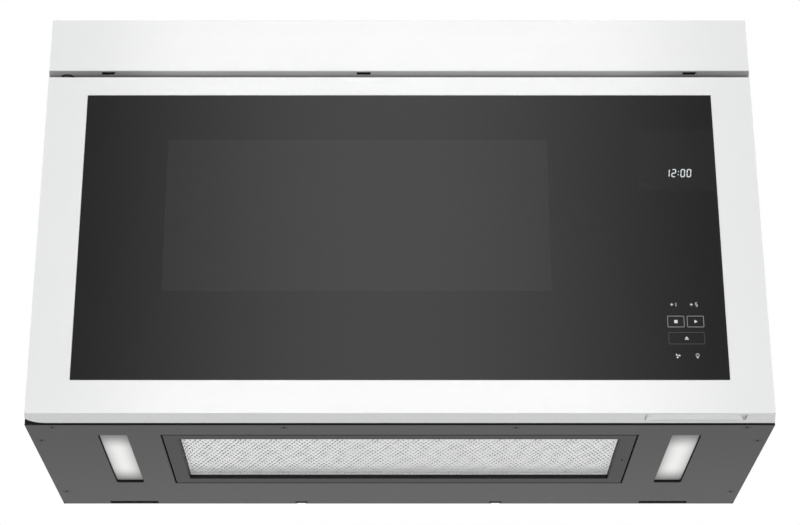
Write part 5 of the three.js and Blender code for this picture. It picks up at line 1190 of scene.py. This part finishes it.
def slot_shades(material):
    """A black sheet of painted shade inside the case behind each slot of the base."""
    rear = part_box("back_panel")[0].y
    for side, label in SIDES:
        mesh = bmesh.new()
        outline = rounded_outline((side * SLOT_MIDDLE[0], SLOT_MIDDLE[1]), BASE_SLOT_SHADE_SIZE, 2 * MM)
        add_prism(mesh, outline, rear - 1.1 * MM, rear - 0.1 * MM)
        piece(f"{label}_slot_shade", mesh, material, "case")


def panel_slot_shades(material):
    """Black pieces of painted shade that fill the slots in the top panel's underside."""
    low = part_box("top_panel")[0].z
    for number, (left, right) in enumerate(PANEL_SLOT_SPANS, 1):
        middle = ((left + right) / 2, FRONT + sum(PANEL_SLOT_SPAN_Y) / 2)
        size = (right - left - PANEL_SLOT_SHADE_GAP, PANEL_SLOT_SPAN_Y[1] - PANEL_SLOT_SPAN_Y[0] - PANEL_SLOT_SHADE_GAP)
        mesh = bmesh.new()
        add_prism(mesh, rounded_outline(middle, size, 1 * MM), low + 0.35 * MM, low + 2.2 * MM, flat)
        made = piece(f"panel_slot_shade_{number}", mesh, material, "case")
        round_edges(made, 0.2 * MM)


# ------------ the frame's own solids


def dress_solids(white, grey, steel):
    """Finishes and rounded edges for the solids that stay as they are."""
    grey_moulding = moulded("grey_moulding", (0.21, 0.22, 0.23), (0.27, 0.28, 0.29), 0.42, 0.55)
    white_moulding = moulded("white_moulding", (0.72, 0.72, 0.70), (0.80, 0.80, 0.78), 0.38, 0.5)
    by_slot = {  # finish, and the width of its rounded edges in millimetres
        "white_front": (white, 0.5),
        "black_frame": (black_enamel(), 0.3),
        "case_paint": (grey, 0.35),
        "zinc_sheet": (zinc_sheet(), 0.3),
        "cavity_enamel": (speckled_enamel(), 0.5),
        "ceramic": (pale_ceramic(), 0.8),
        "steel": (steel, 0.3),
        "aluminium": (rolled_aluminium(), 0.3),
        "black_plastic": (moulded("black_moulding", 0.012, 0.022, 0.45, 0.6), 0.4),
        "grey_plastic": (grey_moulding, 0.4),
        "white_plastic": (white_moulding, 0.4),
        "circuit_board": (board_lacquer(), 0.2),
        "copper_winding": (wound_core(), 0.8),
        "clear_pane": (clear_pane(), 0.2),
        "charcoal": (charcoal_grains(), 0.5),
    }
    for part in frame["record"]["subparts"]:
        if part["material_slot"] in by_slot:
            finish, width = by_slot[part["material_slot"]]
            cover(part["node"], finish)
            soften(part["node"], width * MM)
    cover("door_screen", punched_screen())
    cover("grease_filter_frame", filter_frame_paint())
    cover("base_plate", base_paint())
    cover("outer_case", case_paint())
    cover("back_panel", back_sheet())
    # the top panel's underside gets a painted shade
    cover("top_panel", white_coat("panel_white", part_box("top_panel")[0].z + 0.3 * MM))
    for _, label in SIDES:
        lens = f"{label}_light_lens"
        cover(lens, lamp_lens(f"{label}_lamp_lens", lens))
        soften(lens, 0.5 * MM)


# ------------ floor, light and camera


def pale_floor():
    """A matt pale floor, which the camera, metal and glass see as white with the oven's shadow."""
    f = Finish("pale_floor")
    shade = f.mix(f.noise(0.8, 3), 0.80, 0.84)
    matt = f.node("ShaderNodeBsdfDiffuse", None, {"Color": shade})
    glow = f.node("ShaderNodeEmission", None, {"Color": colour(FLOOR_GLOW), "Strength": 1.0})
    bright = f.node("ShaderNodeAddShader", None, {0: matt, 1: glow})
    return f.end(f.node("ShaderNodeMixShader", None, {0: f.seen(), 1: matt, 2: bright}))


def stage_sheet(name, corners, material):
    """A flat sheet that isn't part of the oven."""
    mesh = bmesh.new()
    mesh.faces.new([mesh.verts.new(corner) for corner in corners])
    made = mesh_object(name, mesh, material)
    return made


def floor():
    """A wide floor far below the oven."""
    sides = ((-1, -1), (1, -1), (1, 1), (-1, 1))
    corners = [(x * FLOOR_REACH, y * FLOOR_REACH, FLOOR_HEIGHT) for x, y in sides]
    stage_sheet("floor", corners, pale_floor())


def reflector():
    """A soft bright panel far in front, which only reflections see: it fades to its sides."""
    f = Finish("reflector_light")
    x, _, _ = f.axes()
    light = f.mix(f.fade(x.math("ABSOLUTE"), 0.05, 1.15), 1.30, 0.24)
    material = f.end(f.node("ShaderNodeEmission", None, {"Color": light, "Strength": 1.0}))
    left, right = REFLECTOR_X
    low, high = REFLECTOR_Z
    outline = ((left, low), (right, low), (right, high), (left, high))
    made = stage_sheet("reflector", [upright(point, REFLECTOR_DEPTH) for point in outline], material)
    for ray in ("camera", "diffuse", "shadow", "transmission"):
        setattr(made, f"visible_{ray}", False)


def world():
    """White for the camera and reflections, softer as light on the oven."""
    f = Finish("studio", bpy.data.worlds)
    strength = f.levels(f.seen(), 0.0, 1.0, ROOM_LIGHT, 1.0)
    back = f.node("ShaderNodeBackground", None, {"Color": colour(1), "Strength": strength})
    bpy.context.scene.world = f.end(back, "ShaderNodeOutputWorld")


def lights():
    """Soft lamps before, below, behind and beside the oven, which no reflection shows."""
    for name, place, target, size, power, spread in LAMPS:
        data = bpy.data.lights.new(name, "AREA")
        data.shape = "RECTANGLE"
        data.size, data.size_y = size
        data.energy = power
        data.spread = radians(spread)
        made = put(name, data)
        made.location = place
        made.rotation_euler = (Vector(target) - Vector(place)).to_track_quat("-Z", "Y").to_euler()
        made.visible_glossy = False
        made.visible_camera = False


def camera():
    data = bpy.data.cameras.new("camera")
    data.sensor_width = SENSOR_WIDTH
    data.lens = CAMERA_LENS
    data.shift_x = CAMERA_SHIFT
    made = put("camera", data)
    made.location = CAMERA_PLACE
    made.rotation_euler = (pi / 2 + CAMERA_PITCH, 0, 0)
    bpy.context.scene.camera = made


def build():
    camera()
    world()
    lights()
    floor()
    reflector()
    white = white_coat("white_coat", -10 * MM)
    grey = grey_texture_paint()
    steel = plated_steel()
    dress_solids(white, grey, steel)
    front_glass(dark_glass())
    door_prints()
    pocket_liner(white)
    grease_net()
    socket = screw_recess_shade()
    base_screws(grey, socket)
    filter_screw(grey, socket)
    top_screws(steel, socket)
    latch_coil(steel)
    # black pieces of painted shade: at the lamp openings, the notches, the base's slots and the top
    # panel's slots
    black = shade_filler()
    lamp_edge_shades(black)
    notch_edge_shades(black)
    slot_shades(black)
    panel_slot_shades(black)
    bpy.context.scene.view_settings.view_transform = "Standard"


build()
